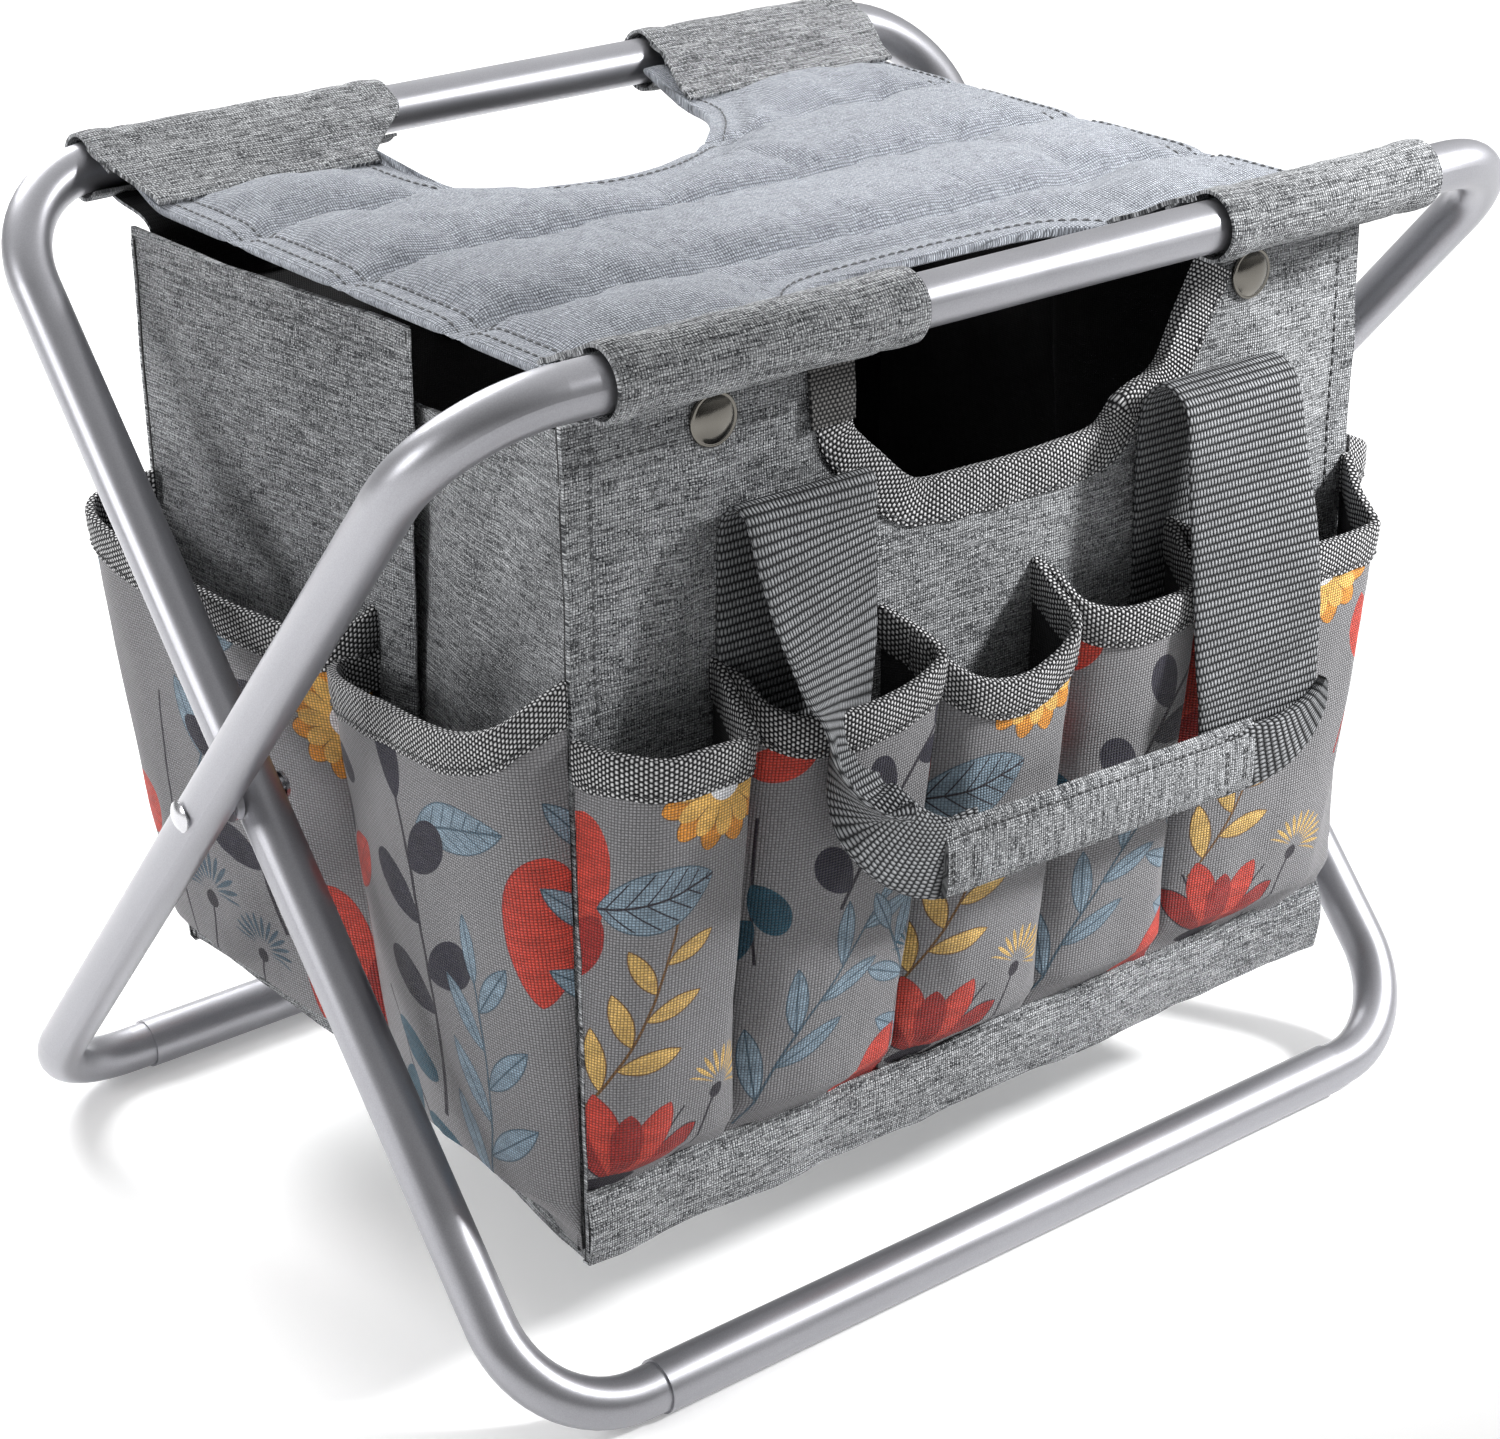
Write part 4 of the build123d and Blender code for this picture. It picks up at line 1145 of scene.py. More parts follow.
def long_side_pockets(side):
    """The five pockets of a long side. Each bulges forward and folds back sharply at its right edge."""
    end, body, flip = END[side], END[side] + "_bag", side == REAR
    lift = REAR_RAISE * 0.8 if side == REAR else 0.0
    face = -POCKET_FACE[side] + 3.0
    edges = [-BAG_HALF, -107, -44, 17, 74, BAG_HALF]
    if side == REAR:
        edges = [-BAG_HALF, -96, -30, 34, 92, BAG_HALF]
    sewing = Stitches(f"{end}_pocket_stitches")
    for i in range(5):
        x0, x1 = edges[i], edges[i + 1]
        lean = (-0.06, 0.12, -0.02, -0.05, -0.09)[i]
        reach = (26, 25, 27, 24, 25)[i]
        sag = (-2, 2, 9, 1, 0)[i]
        start = 3 if i == 0 else 13
        top = POCKET_TOP
        mouth = [(0.0, 0.0, top + start), (0.03, 8, top + start * 0.8), (0.09, 17, top + 3),
                 (0.28, reach - 1, top - sag * 0.7), (0.58, reach + 1.5, top - sag),
                 (0.86, reach, top - sag * 0.4),
                 (0.985 + lean, reach - 4, top + 3), (1.0 + lean * 0.8, reach * 0.5, top + 8),
                 (1.0, 3, top + 14), (1.0, 0.0, top + 15)]
        base = [(0.0, 0.0), (0.02, 2), (0.08, 5), (0.30, 7.5), (0.60, 8), (0.88, 7.5), (0.985, 6.5),
                (1.0, 4), (1.0, 1), (1.0, 0)]
        pocket = Pocket((x0 + 0.3, face), (x1 - 0.3, face), (0, -1), POCKET_LOW - 2 + lift, base, mouth,
                        100 + 7 * i
                        + 50 * side)
        if side == REAR:
            pocket.mirrored(1)
        centre = 47.5 if i % 2 == 0 else 142.5
        pocket_piece(pocket, f"{end}_pocket_{i + 1}", body, PRINTED, flip, f"{end}_pocket_{i + 1}",
                     (centre, -POCKET_LOW))
        mouth_tape(pocket, f"{end}_pocket_{i + 1}_tape", body, flip, sewing,
                   [f"{end}_pocket_bindings"] if i == 0 else [])
    attach(sewing.make(DARK_THREAD), body, "binding")


def end_pockets(sign, name):
    """The two pockets of a bag's end, one on each side of its pleat."""
    sewing = Stitches(f"{name}_pocket_stitches")
    front_y, rear_y = GUSSET_LOW[1], GUSSET_HIGH[1]
    top = SIDE_TOP

    def low(a, b, share):
        return foot(a[1] + share * (b[1] - a[1])) + 4.0

    front = Pocket((-FOLD_X - 1.0, FOLD_Y - 1.5), (-BAG_HALF - 0.5, front_y - 1.0), (-0.987, 0.157), low,
                   [(0, 0), (0.01, 4), (0.08, 11), (0.35, 15), (0.7, 13), (0.92, 8), (1.0, 3), (1.0, 0)],
                   [(0, 0, top - 12), (-0.01, 12, top - 13), (0.02, 23, top - 13), (0.20, 30, top - 9),
                    (0.50, 30, top - 4), (0.80, 26, top), (0.95, 20, top + 6), (1.01, 12, top + 13),
                    (1.02, 0, top + 19)], 211, columns=84, centre=0.5)
    rear = Pocket((-BAG_HALF - 0.5, rear_y), (-FOLD_X - 1.0, FOLD_Y + 1.5), (-0.988, -0.154), low,
                  [(0, 0), (0.0, 4), (0.08, 11), (0.35, 15), (0.7, 14), (0.93, 10), (1.0, 4), (1.0, 0)],
                  [(0, 0, top + 16), (-0.05, 10, top + 13), (-0.06, 21, top + 10), (0.06, 29, top + 7),
                   (0.35, 30, top + 1), (0.68, 28, top - 4), (0.90, 22, top - 6), (1.0, 12, top - 1),
                   (1.0, 0, top + 6)], 223, columns=84, centre=0.5)
    for pocket, part, shift in ((front, "front", 75.0), (rear, "rear", 225.0)):
        if sign > 0:
            pocket.mirrored(0)
        flip = sign > 0
        pocket_piece(pocket, f"{name}_{part}_pocket", "front_bag", PRINTED_SIDE, flip,
                     f"{name}_{part}_pocket",
                     (shift, -SIDE_LOW), squash=BAG_SQUASH)
        mouth_tape(pocket, f"{name}_{part}_pocket_tape", "front_bag", flip, sewing,
                   [f"{name}_pocket_bindings"] if part == "front" else [], squash=BAG_SQUASH)
    attach(sewing.make(DARK_THREAD), "front_bag", "binding", squash=BAG_SQUASH)


long_side_pockets(FRONT)
long_side_pockets(REAR)
end_pockets(-1, "left")
end_pockets(1, "right")


# ------------------------------------------------------------------ seat
REAR_HOLE = [(-69.5, 132), (-69.5, 95), (-68.5, 78), (-64, 66), (-56, 57.5), (-42, 50), (-18, 44.5), (0, 46),
             (14, 51), (28, 59), (41, 70), (51, 83), (56.5, 97), (58, 132)]
FRONT_HOLE = [(-61, 132), (-60.5, 112), (-58, 101), (-51, 94), (-40, 90.5), (-20, 89), (0, 88.5), (20, 89),
              (40, 90.5), (51, 94), (58, 101), (60.5, 112), (61, 132)]
QUILT_LINES = (60.0, 0.0, -60.0)
SEAT_EDGE = RAIL_Y - SLEEVE_R - 0.6
HEM = 11.0


def hole_edge(points):
    """The hand opening's edge over x, and outside it the seat's own edge."""
    line = curve(points, 300)
    order = np.maximum.accumulate(line[:, 0])
    return lambda x: np.where((x > points[0][0]) & (x < points[-1][0]), np.interp(x, order, line[:, 1]),
                              SEAT_EDGE)


def seat_columns():
    """Places along the rails, closer together where a hand opening's edge is steep."""
    steep = [p[0] for line in (REAR_HOLE, FRONT_HOLE) for p in curve(line, 32)]
    x = np.concatenate([np.linspace(-SEAT_HALF, SEAT_HALF, 84), steep])
    x = np.unique(np.round(x, 1))
    keep = [x[0]]
    for value in x[1:]:
        if value - keep[-1] > 0.45:
            keep.append(value)
    return np.array(keep)


def seat_level(x, y):
    """The middle of the seat's cloth: level in the middle, and rising to the rails."""
    rise = smooth((np.abs(y) - 104) / (SEAT_EDGE - 104))
    sag = 2.0 * np.cos(np.pi * y / 262) * np.cos(np.pi * x / 330)
    return (SEAT_TOP - 4.0) - sag + (RAIL_Z - SEAT_TOP + 3.6) * rise


def seat_edge_distance(x, y):
    """Distance to the seat's nearest cut edge, not counting the edges under the rails."""
    found = SEAT_HALF - np.abs(x)
    for points, sign in ((REAR_HOLE, 1), (FRONT_HOLE, -1)):
        for spot in curve(points, 120) * (1, sign):
            found = np.minimum(found, np.hypot(x - spot[0], y - spot[1]))
    return found


def simulate(obj, frames=20):
    """Blows the pad up a little between its seams, which are held."""
    cloth = obj.modifiers.new("cloth", "CLOTH")
    settings = cloth.settings
    settings.quality = 6
    settings.mass = 0.2
    settings.tension_stiffness = 12
    settings.compression_stiffness = 12
    settings.shear_stiffness = 4
    settings.bending_stiffness = 0.3
    settings.use_pressure = True
    settings.uniform_pressure_force = 8
    settings.shrink_min = -0.02
    settings.vertex_group_mass = "held"
    settings.effector_weights.gravity = 0
    cloth.point_cache.frame_start = 1
    cloth.point_cache.frame_end = frames
    scene = bpy.context.scene
    scene.frame_start, scene.frame_end = 1, frames
    for number in range(1, frames + 1):
        scene.frame_set(number)
    graph = bpy.context.evaluated_depsgraph_get()
    blown = np.array([v.co for v in obj.evaluated_get(graph).data.vertices], float)
    obj.modifiers.remove(cloth)
    scene.frame_set(1)
    return blown / MM


def seat_pad():
    """The quilted seat: two cloths sewn together round the edge and along three lines, with foam between."""
    x = seat_columns()
    y0, y1 = -hole_edge(FRONT_HOLE)(x), hole_edge(REAR_HOLE)(x)
    marks = [y0, y0 * 0 + QUILT_LINES[2], y0 * 0 + QUILT_LINES[1], np.minimum(QUILT_LINES[0], y1 - 6), y1]
    ys = [low + (high - low) * v for low, high in zip(marks, marks[1:]) for v in np.arange(17) / 17]
    ys = np.array(ys + [y1])
    xs = np.broadcast_to(x, ys.shape)
    level = seat_level(xs, ys)
    edge = seat_edge_distance(xs, ys)
    lines = np.min([np.abs(ys - q) for q in QUILT_LINES], axis=0)
    rail = SEAT_EDGE - np.abs(ys)
    thick = 4.4 - 1.2 * (lines < 3) - 1.0 * smooth((6 - edge) / 6) - 1.4 * smooth((20 - rail) / 20)
    upper = np.stack([xs, ys, level + thick / 2], -1)
    lower = np.stack([xs, ys, level - thick / 2], -1)
    rows, cols = xs.shape
    n = rows * cols
    at = np.arange(n).reshape(rows, cols)
    quads = np.stack([at[:-1, :-1], at[:-1, 1:], at[1:, 1:], at[1:, :-1]], -1).reshape(-1, 4)
    loop = np.concatenate([at[0, :], at[1:, -1], at[-1, -2::-1], at[-2:0:-1, 0]])
    turn = np.roll(loop, -1)
    rim = np.stack([loop, turn, turn + n, loop + n], -1)
    points = np.concatenate([upper.reshape(-1, 3), lower.reshape(-1, 3)])
    faces = np.concatenate([quads, quads + n, rim])
    flat = np.concatenate([np.stack([xs, ys], -1).reshape(-1, 2)] * 2)
    obj = make_mesh("seat_pad", points, faces, [SEAT_CLOTH], cloth=flat, sharp=70)
    away = np.minimum(np.minimum(lines, np.maximum(edge - HEM, 0)), np.maximum(rail - 26, 0)).ravel()
    away = np.concatenate([away, away])
    foam = 4.2 * (1 - np.exp(-away / 8))
    foam[n:] *= -0.4
    blown = points.copy()
    group = obj.vertex_groups.new(name="held")
    group.add([int(k) for k in np.nonzero(away < 2.0)[0]], 1.0, "REPLACE")
    move = simulate(obj) - points
    size = np.linalg.norm(move, axis=1, keepdims=True)
    cap = np.where(np.arange(len(points)) < n, 3.4, 2.0)[:, None]
    blown += move * np.minimum(1.0, cap / np.maximum(size, 1e-9))
    obj.vertex_groups.clear()
    blown[:, 2] += foam
    seam = np.exp(-(np.concatenate([lines.ravel()] * 2) / 5.0) ** 2) * 3.0
    seam = seam + np.exp(-(np.concatenate([(edge - HEM).ravel()] * 2) / 1.6) ** 2) * 0.6
    blown[:n, 2] -= seam[:n]
    blown[n:, 2] += seam[n:] * 0.6
    blown[:n, 2] += 0.6 * ripple(flat[:n, 0], flat[:n, 1], 46, 71) * smooth(away[:n] / 10)
    obj.data.vertices.foreach_set("co", (blown * MM).astype(np.float32).ravel())
    obj.data.update()
    finer = obj.modifiers.new("finer", "SUBSURF")
    finer.levels = finer.render_levels = 1
    graph = bpy.context.evaluated_depsgraph_get()
    mesh = bpy.data.meshes.new_from_object(obj.evaluated_get(graph))
    obj.modifiers.remove(finer)
    obj.data = mesh
    seat_stitches(obj)
    attach(obj, "seat", "seat_fabric", "seat_cover", "seat_padding", squash=SEAT_SQUASH)


def drop_line(tree, line):
    """A line of XY places let down on a mesh from above: points and normals in millimetres."""
    points, normals = [], []
    for x, y in line:
        hit, normal, _, _ = tree.ray_cast(Vector((x * MM, y * MM, 1.0)), Vector((0, 0, -1)))
        if hit is not None:
            points.append(np.array(hit) / MM)
            normals.append(np.array(normal))
    return np.array(points), np.array(normals)


def seat_stitches(obj):
    """Quilting lines and the hem's two rows."""
    tree = BVHTree.FromObject(obj, bpy.context.evaluated_depsgraph_get())
    sewing = Stitches("seat_stitches")
    rear_edge, front_edge = hole_edge(REAR_HOLE), hole_edge(FRONT_HOLE)
    for q in QUILT_LINES:
        xs = np.linspace(-SEAT_HALF + 2, SEAT_HALF - 2, 300)
        inside = (q < rear_edge(xs) - 3) & (q > -front_edge(xs) + 3)
        for part in np.split(np.arange(300), np.nonzero(np.diff(inside.astype(int)))[0] + 1):
            if inside[part[0]] and len(part) > 6:
                sewing.run(*drop_line(tree, np.stack([xs[part], np.full(len(part), q)], 1)))
    for sign in (-1, 1):
        for inset in (HEM, HEM - 6.5):
            ys = np.linspace(-112, 112, 200)
            sewing.run(*drop_line(tree, np.stack([np.full(200, sign * (SEAT_HALF - inset)), ys], 1)))
    for points, turn in ((REAR_HOLE, 1), (FRONT_HOLE, -1)):
        line = curve(points, 160) * (1, turn)
        ahead = np.gradient(line, axis=0)
        ahead /= np.linalg.norm(ahead, axis=1, keepdims=True)
        ring = line + np.stack([ahead[:, 1], -ahead[:, 0]], 1) * 5.5 * turn
        ring = ring[np.abs(ring[:, 1]) < 106]
        sewing.run(*drop_line(tree, ring))
    attach(sewing.make(), "seat", "seat_fabric", squash=SEAT_SQUASH)


TAB_START = 104.0


def loop_ends(side, sign, ends, y):
    """Where the cloth round a rail begins and stops along the rail, at a distance y from the middle."""
    hole = REAR_HOLE if side == REAR else FRONT_HOLE
    inner = abs(hole[0][0] if sign < 0 else hole[-1][0])
    share = smooth((y - TAB_START) / (SEAT_EDGE - TAB_START))
    return (inner + 0.6 + (ends[0] - inner - 0.6) * share,
            SEAT_HALF + 0.6 + (ends[1] - SEAT_HALF - 0.6) * share)


def seat_tab(side, sign, name, ends):
    """The loop's tail: strong grey cloth sewn on the seat, that runs up to the rail and widens with it."""
    profile = [(TAB_START, 1.0), (108, 1.5), (116, 2.0), (124, 2.6), (SEAT_EDGE + 1, 3.4),
               (SEAT_EDGE + 5, 5.2)]
    rows = []
    for y, lift in curve(profile, 26):
        xs = np.linspace(*loop_ends(side, sign, ends, y), 46) * sign
        base = seat_level(xs, np.full_like(xs, min(y, SEAT_EDGE)))
        edge = 1.1 * smooth((y - TAB_START) / 2.5)
        z = base + 1.2 + lift + edge + 0.25 * ripple(xs, xs * 0 + y, 30, 81)
        rows.append(np.stack([xs, np.full_like(xs, -y), z], -1))
    grid = on_side(rows, side)
    cloth = grid[..., :2]
    flip = (sign > 0) == (side == FRONT)
    obj = skin(name, grid, cloth, 1.4, GREY_CLOTH, GREY_CLOTH, not flip)
    attach(obj, "seat", "bag_fabric", squash=SEAT_SQUASH)
    sewing = Stitches(f"{name}_stitches")
    cols = np.linspace(1, 44, 120)
    sewing.along_grid(grid, np.full(120, 3.0), cols, not flip)
    attach(sewing.make(), "seat", "bag_fabric", squash=SEAT_SQUASH)


def sleeve(side, sign, name, ends):
    """Cloth wrapped round a rail, with a short tail towards the seat and a hem at each end."""
    count = 70
    angles = np.radians(np.linspace(58, 318, 60))
    reach = ends[1] - ends[0]
    rows = []
    for k in range(count):
        share = k / (count - 1)
        near = min(share, 1 - share) * reach
        hem = 0.45 * math.exp(-((near - 6) / 5) ** 2) - 0.35 * math.exp(-((near - 13) / 1.6) ** 2)
        spot = ends[0] + share * reach
        r = SLEEVE_R + 0.1 + hem + 0.28 * ripple(angles * 9.6, spot + angles * 0, 26, 91)
        ring = [(RAIL_Y - 17, RAIL_Z + 1.4), (RAIL_Y - 12.5, RAIL_Z + 4.8)]
        ring += [(RAIL_Y - r[i] * math.cos(a), RAIL_Z + r[i] * math.sin(a)) for i, a in enumerate(angles)]
        ring.append((RAIL_Y - 10.2, RAIL_Z - 5.6))
        row = []
        for y, z in straight(ring, 84):
            low, high = loop_ends(side, sign, ends, min(y, SEAT_EDGE))
            row.append(((low + share * (high - low)) * sign, -y, z))
        rows.append(row)
    grid = on_side(rows, side)
    s = along(grid[0])
    cloth = np.stack([grid[..., 0], np.broadcast_to(s, grid.shape[:2])], -1)
    flip = (sign > 0) == (side == FRONT)
    body = "outer_frame" if side == FRONT else "inner_frame"
    attach(skin(f"{name}_cloth", grid, cloth, 1.1, GREY_CLOTH, GREY_CLOTH, flip), body, "seat_fabric", name)
    sewing = Stitches(f"{name}_stitches")
    cols = np.linspace(8, 76, 160)
    step = reach / (count - 1)
    for near in (4.0, 13.0):
        for row in (near / step, count - 1 - near / step):
            sewing.along_grid(grid, np.full(160, row), cols, flip, pitch=3.2, length=2.4)
    attach(sewing.make(), body, "seat_fabric")


seat_pad()
for SIDE in (FRONT, REAR):
    for SIGN, HAND in ((-1, "left"), (1, "right")):
        ENDS = ({(FRONT, -1): 53, (FRONT, 1): 67, (REAR, -1): 46, (REAR, 1): 65}[SIDE, SIGN], SLEEVE_OUTER)
        seat_tab(SIDE, SIGN, f"{END[SIDE]}_seat_tab_{HAND}", ENDS)
        sleeve(SIDE, SIGN, f"{END[SIDE]}_sleeve_{HAND}", ENDS)


# ------------------------------------------------------------------ handles
GRIP_LEFT = GRIP_LOW[0] - 4.5
# distances across the webbing, from its middle line out to each edge, in millimetres
WEB_REACH = np.array([0, 0.6, 1.2, 1.8, 3.0, 6.0, 10.0, 14.0, 18.0, 21.5, 24.0, 24.6])
WEB_EDGE = np.array([1, 1, 1, 1, 1, 1, 1, 1, 1, 1, 0.9, 0.45])


def web_section(centre, inner, normal, fold):
    """Closed section of webbing. One half lies along inner, and the other is folded over its front:
    fold is 0 where the webbing is flat and -1 where it is doubled over."""
    turn = math.radians(177) * fold
    bent = np.minimum(WEB_REACH / 2.0, 1.0) * turn
    step = np.diff(WEB_REACH, prepend=0.0)
    back = np.stack([-np.cumsum(step * np.cos(bent)), -np.cumsum(step * np.sin(bent))], 1)
    front = np.stack([WEB_REACH, 0 * WEB_REACH], 1)
    line = np.concatenate([back[:0:-1], front])
    thin = np.concatenate([WEB_EDGE[:0:-1], WEB_EDGE]) * WEB_THICK / 2
    ahead = np.gradient(line, axis=0)
    ahead /= np.linalg.norm(ahead, axis=1, keepdims=True)
    side = np.stack([-ahead[:, 1], ahead[:, 0]], 1) * thin[:, None]
    ring = np.concatenate([line + side, (line - side)[::-1]])
    return centre + ring[:, :1] * inner + ring[:, 1:] * normal


def strap(side, sign, name):
    """One webbing strap: sewn up the panel, arched out, hanging in front and doubled over into the grip."""
    face = PANEL_FACE[side] + 2.2
    grip_end = GRIP_LEFT if sign < 0 else GRIP_HIGH[0]
    low = GRIP_LOW[2] + 2.2
    x, hang = sign * STRAP_X, GRIP_Y
    # x, distance out, z, share folded (below 0 is over the front) and degrees turned about the vertical,
    # down the webbing's middle
    sewn = [(x, face, 112, 0, 0), (x, face, 170, 0, 0), (x, face, 225, 0, 0), (x, face + 0.4, 262, 0, 0)]
    if sign < 0:
        loose = [(x, face + 2, 275, 0, 0), (x, face + 7, ARCH_Z - 1.5, 0, 0), (x, face + 12, 279, 0, -2),
                 (x, face + 15, 268, 0, -7), (x + 1, face + 17.5, 252, 0, -14),
                 (x + 2, face + 20.5, 236, 0, -22),
                 (x + 0.5, face + 24, 220, -0.03, -29), (x - 4, face + 27, 206, -0.18, -24),
                 (x - 5.5, hang - 5.3, 193, -0.5, -16), (x - 4, hang - 2.8, 181.5, -0.85, -8),
                 (x + 3, hang - 1.6, 170.5, -0.96, -3), (x + 13, hang - 1.6, 160.5, -0.98, 0),
                 (x + 25, hang - 1.9, low + 3.5, -0.99, 0), (grip_end + 2, hang - 2.2, low, -1, 0),
                 (grip_end + 16, hang - 2.2, low, -1, 0)]
    else:
        loose = [(x, face + 3, 275, 0, 0), (x, face + 10, ARCH_Z - 1, 0, 0), (x, face + 17, ARCH_Z - 3, 0, 0),
                 (x, face + 21, 274, 0, 0), (x, face + 23.5, 262, 0, 2), (x, face + 26, 246, 0, 5),
                 (x + 0.4, hang - 4, 230, 0, 8), (x + 0.8, hang - 2, 212, 0, 9),
                 (x + 1.8, hang - 1.4, 195, 0, 8),
                 (x + 3.0, hang - 1.4, 180, 0, 5), (x + 3.4, hang - 1.5, 164.5, 0, 4)]
    line = curve(sewn + loose, 190)
    centres = np.stack([line[:, 0], -line[:, 1], line[:, 2]], 1)
    tangent = np.gradient(centres, axis=0)
    tangent /= np.linalg.norm(tangent, axis=1, keepdims=True)
    sections = []
    for centre, ahead, fold, turned in zip(centres, tangent, line[:, 3], line[:, 4]):
        turn = math.radians(turned)
        width = np.array([math.cos(turn), -math.sin(turn), 0.0])
        normal = np.cross(ahead, width)
        if sign < 0 and centre[2] < 215 and centre[1] < -face - 15:
            flat = np.array([-math.sin(turn), -math.cos(turn), 0.0])
            normal = normal / np.linalg.norm(normal) + smooth((215 - centre[2]) / 15) * 20 * flat
        normal /= np.linalg.norm(normal)
        inner = np.cross(normal, ahead) * -sign
        inner /= np.linalg.norm(inner)
        sections.append(web_section(centre, inner, normal, min(max(fold, -1.0), 0.0)))
    obj = loft(f"{END[side]}_strap_{name}", on_side(sections, side), [WEBBING])
    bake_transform(obj)
    if sign < 0:
        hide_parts(f"{END[side]}_strap_anchors", f"{END[side]}_handle_webbing")


def strap_fold(side):
    """Where the right strap turns into the grip: doubled webbing folded over the strap's lower end."""
    turn = GRIP_HIGH[0]
    low, high = GRIP_LOW[2] - 1.0, GRIP_LOW[2] + 21.5
    lower = curve([(turn - 14, low), (turn, low), (turn + 12, low + 3.5), (turn + 24, low + 11),
                   (turn + 30.5, low + 22), (turn + 30.5, low + 30)], 40)
    upper = curve([(turn - 14, high), (turn, high), (turn + 11, high + 1.2), (turn + 21, high + 3.2),
                   (turn + 27, high + 6), (turn + 29.5, high + 9)], 40)
    sections = []
    for k, (a, b) in enumerate(zip(lower, upper)):
        out = GRIP_Y + 3.2 * smooth((k - 6) / 14) - 0.4 * smooth((k - 30) / 9)
        half = 1.7
        ring = []
        for share, stand in ((0.0, 0.0), (0.012, 0.7), (0.05, 1.0), (0.35, 1.0), (0.65, 1.0), (0.95, 1.0),
                             (0.988, 0.7), (1.0, 0.0), (0.988, -0.7), (0.95, -1.0), (0.65, -1.0),
                             (0.35, -1.0),
                             (0.05, -1.0), (0.012, -0.7)):
            x, z = a + share * (b - a)
            ring.append((x, -(out + stand * half), z))
        sections.append(ring)
    obj = loft(f"{END[side]}_strap_fold", on_side(sections, side), [WEBBING])
    attach(obj, f"{END[side]}_handle", "webbing")


def grip(side):
    """The cloth sleeve of the handle, sewn along its edge and across its ends."""
    end, flip = END[side], side == REAR
    left, right = GRIP_LEFT, GRIP_HIGH[0]
    xs = np.linspace(left, right, 64)
    sections = []
    for x in xs:
        share = (x - left) / (right - left)
        tilt = -3.0 * (share - 0.5)
        swell = 0.5 * ripple(np.array(x), np.array(0.0), 34, 97)
        ends = min(x - left, right - x)
        pinch = 0.5 * math.exp(-((ends - 11) / 1.4) ** 2)
        high, low = GRIP_HIGH[2] - 0.2, GRIP_LOW[2] + 0.2
        half = 2.6 + swell * 0.4 - pinch
        ring = []
        for z, y in ((low + 1.0, -half * 0.7), (low, 0.0), (low + 1.0, half * 0.7), (low + 5, half),
                     (low + 9, half + 0.15),
                     (low + 13, half + 0.15), (high - 6, half), (high - 4.0, half - 0.75),
                     (high - 1.5, half - 0.9),
                     (high, 0.0), (high - 1.5, -half + 0.9), (high - 4.0, -half + 0.75), (high - 6, -half),
                     (low + 13, -half - 0.15), (low + 9, -half - 0.15), (low + 5, -half)):
            ring.append((x, -(GRIP_Y + y), z + tilt))
        sections.append(ring)
    sections = on_side(sections, side)
    obj = loft(f"{end}_grip_cloth", sections, [GREY_CLOTH], sharp=60)
    attach(obj, f"{end}_handle", "bag_fabric", f"{end}_handle_grip")
    sewing = Stitches(f"{end}_grip_stitches")
    for face in (1, -1):
        out = np.array([0.0, float(side) * face, 0.0])
        column = 7 if face > 0 else 11
        line = sections[:, column] + out * 0.15
        sewing.run(line[1:-1], np.tile(out, (62, 1)), pitch=3.2, length=2.3)
        for at in (4.0, 11.0, right - left - 11.0, right - left - 4.0):
            k = int(at / (right - left) * 63)
            picks = [3, 4, 5, 6] if face > 0 else [15, 14, 13, 12]
            points = np.array([sections[k, j] for j in picks]) + out * 0.25
            sewing.run(straight(points, 30), np.tile(out, (30, 1)), pitch=3.0, length=2.2)
    attach(sewing.make(DARK_THREAD), f"{end}_handle", "bag_fabric")


for SIDE in (FRONT, REAR):
    strap(SIDE, -1, "left")
    strap(SIDE, 1, "right")
    strap_fold(SIDE)
    grip(SIDE)


# ------------------------------------------------------------------ stage and light
SKY_LOW, SKY_HIGH = 0.09, 1.2
DIM_SIDE = (-0.62, -0.78, 0.0)
DIM = 0.2


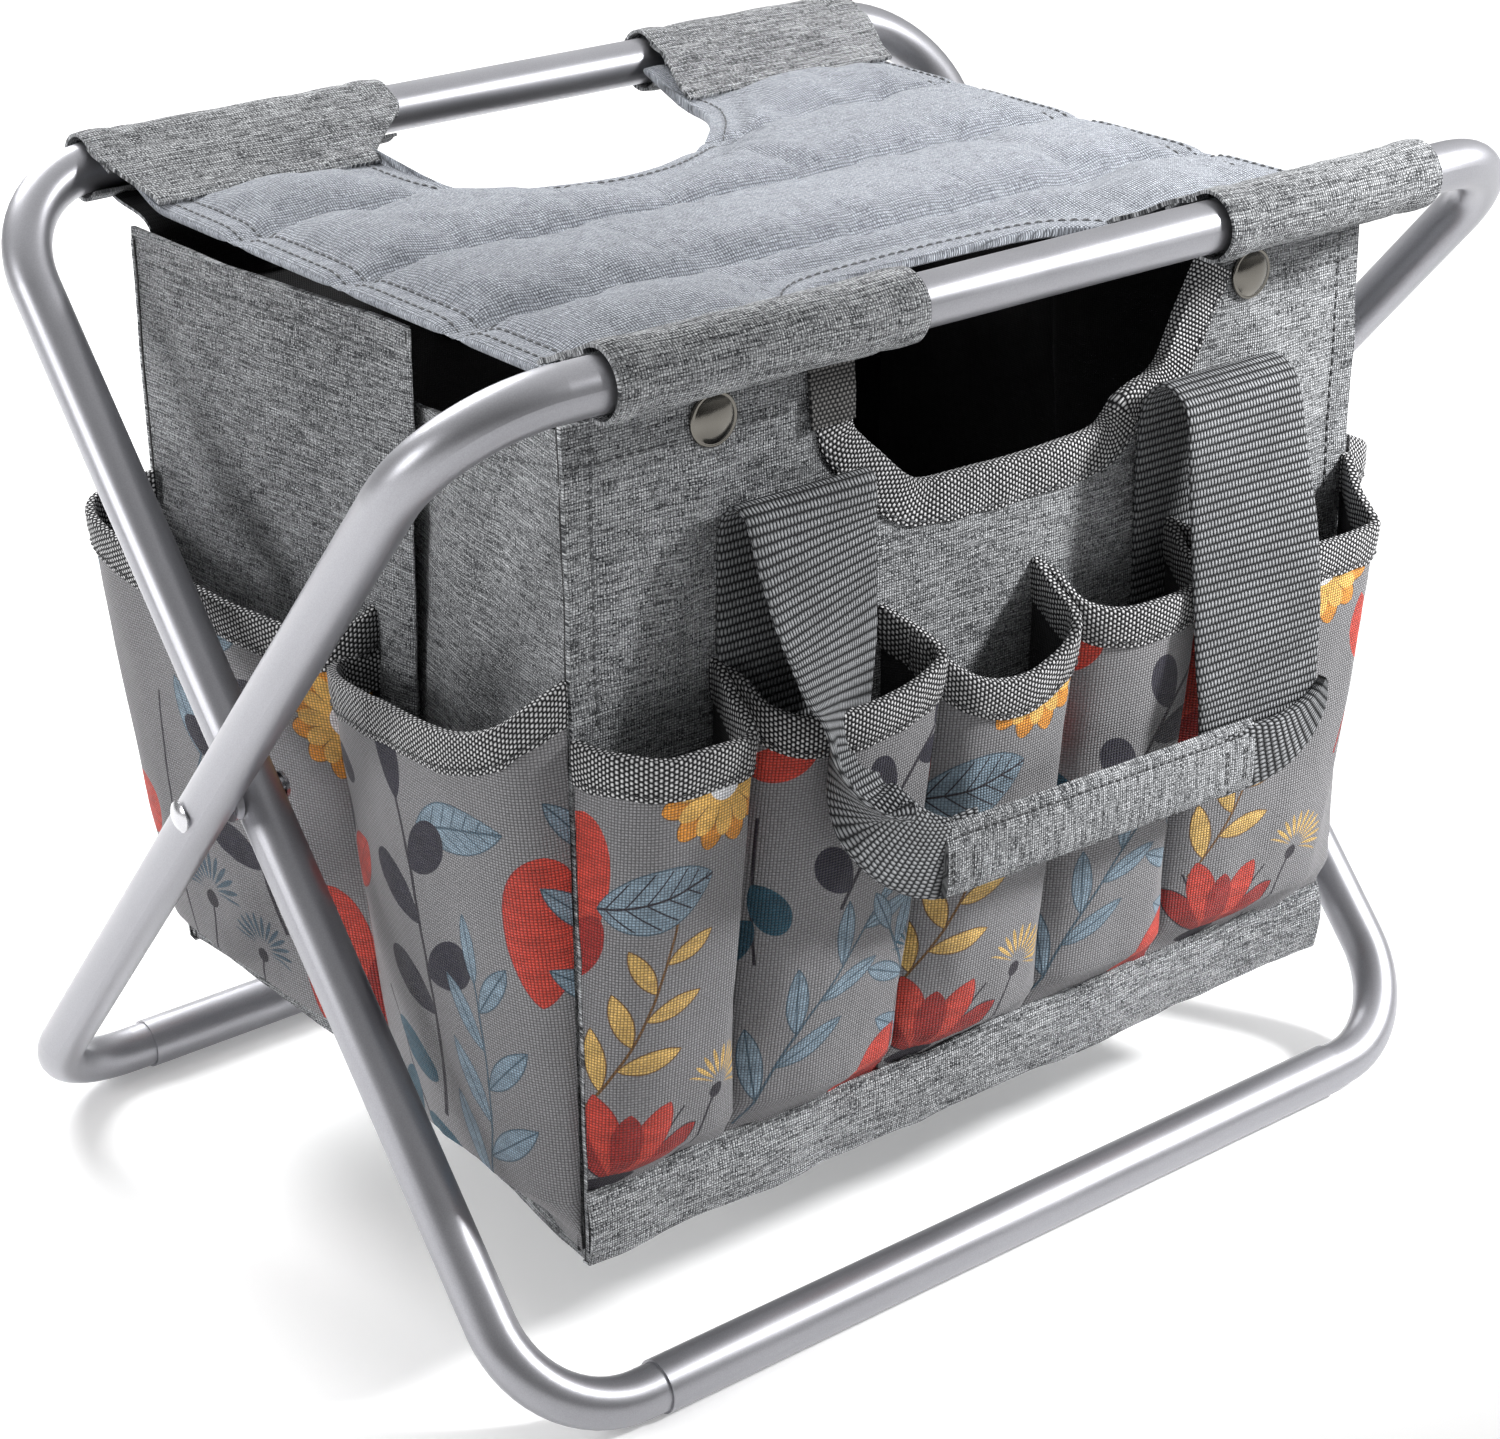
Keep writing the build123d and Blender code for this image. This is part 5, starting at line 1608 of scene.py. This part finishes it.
def studio_world():
    """A soft box overhead that darkens towards the horizon, and most on the side that the front left
    corner faces. The camera sees plain white behind."""
    world = bpy.data.worlds.new("studio")
    world.use_nodes = True
    tree = world.node_tree
    tree.nodes.clear()
    place = tree.nodes.new("ShaderNodeTexCoord")
    split = tree.nodes.new("ShaderNodeSeparateXYZ")
    ramp = tree.nodes.new("ShaderNodeMapRange")
    for k, value in enumerate((-0.1, 1.0, SKY_LOW, SKY_HIGH)):
        ramp.inputs[1 + k].default_value = value
    facing = tree.nodes.new("ShaderNodeVectorMath")
    facing.operation = "DOT_PRODUCT"
    facing.inputs[1].default_value = DIM_SIDE
    dim = tree.nodes.new("ShaderNodeMapRange")
    for k, value in enumerate((-0.2, 0.9, 1.0, DIM)):
        dim.inputs[1 + k].default_value = value
    level = tree.nodes.new("ShaderNodeMath")
    level.operation = "MULTIPLY"
    light, seen = tree.nodes.new("ShaderNodeBackground"), tree.nodes.new("ShaderNodeBackground")
    path, mix = tree.nodes.new("ShaderNodeLightPath"), tree.nodes.new("ShaderNodeMixShader")
    out = tree.nodes.new("ShaderNodeOutputWorld")
    light.inputs[0].default_value = seen.inputs[0].default_value = (1, 1, 1, 1)
    tree.links.new(place.outputs["Generated"], split.inputs[0])
    tree.links.new(place.outputs["Generated"], facing.inputs[0])
    tree.links.new(split.outputs[2], ramp.inputs[0])
    tree.links.new(facing.outputs[1], dim.inputs[0])
    tree.links.new(ramp.outputs[0], level.inputs[0])
    tree.links.new(dim.outputs[0], level.inputs[1])
    tree.links.new(level.outputs[0], light.inputs[1])
    tree.links.new(path.outputs["Is Camera Ray"], mix.inputs[0])
    tree.links.new(light.outputs[0], mix.inputs[1])
    tree.links.new(seen.outputs[0], mix.inputs[2])
    tree.links.new(mix.outputs[0], out.inputs[0])
    bpy.context.scene.world = world


def place_light(light, spot, aim):
    """A lamp at spot that faces aim."""
    lamp = bpy.data.objects.new(light.name, light)
    bpy.context.scene.collection.objects.link(lamp)
    lamp.location = spot
    lamp.rotation_euler = (Vector(aim) - Vector(spot)).to_track_quat("-Z", "Y").to_euler()


def stage():
    """A pale floor under soft studio light."""
    size = 6.0
    mesh = bpy.data.meshes.new("floor")
    mesh.from_pydata([(-size, -size, 0), (size, -size, 0), (size, size, 0), (-size, size, 0)], [],
                     [(0, 1, 2, 3)])
    s = Shader("pale_floor")
    s.set("Base Color", (0.90, 0.90, 0.90, 1)).set("Roughness", 0.8).set("Specular IOR Level", 0.05)
    s.set("Emission Color", (1, 1, 1, 1)).set("Emission Strength", 0.22)
    mesh.materials.append(s.material)
    obj = bpy.data.objects.new("floor", mesh)
    bpy.context.scene.collection.objects.link(obj)
    studio_world()
    for name, spot, aim, size, power in (("top", (0.0, 1.35, 1.35), (0, 0, 0.3), 1.0, 38),
                                         ("left", (-2.0, 0.35, 0.8), (0, 0, 0.2), 0.7, 14)):
        light = bpy.data.lights.new(name, "AREA")
        light.shape, light.size, light.energy = "DISK", size, power
        place_light(light, spot, aim)
    light = bpy.data.lights.new("key", "SPOT")
    light.spot_size, light.spot_blend = math.radians(30), 1.0
    light.shadow_soft_size, light.energy = 0.12, 150
    place_light(light, (0.90, -0.80, 0.90), (0.21, -0.12, 0.25))
    bpy.context.scene.view_settings.view_transform = "Standard"


stage()
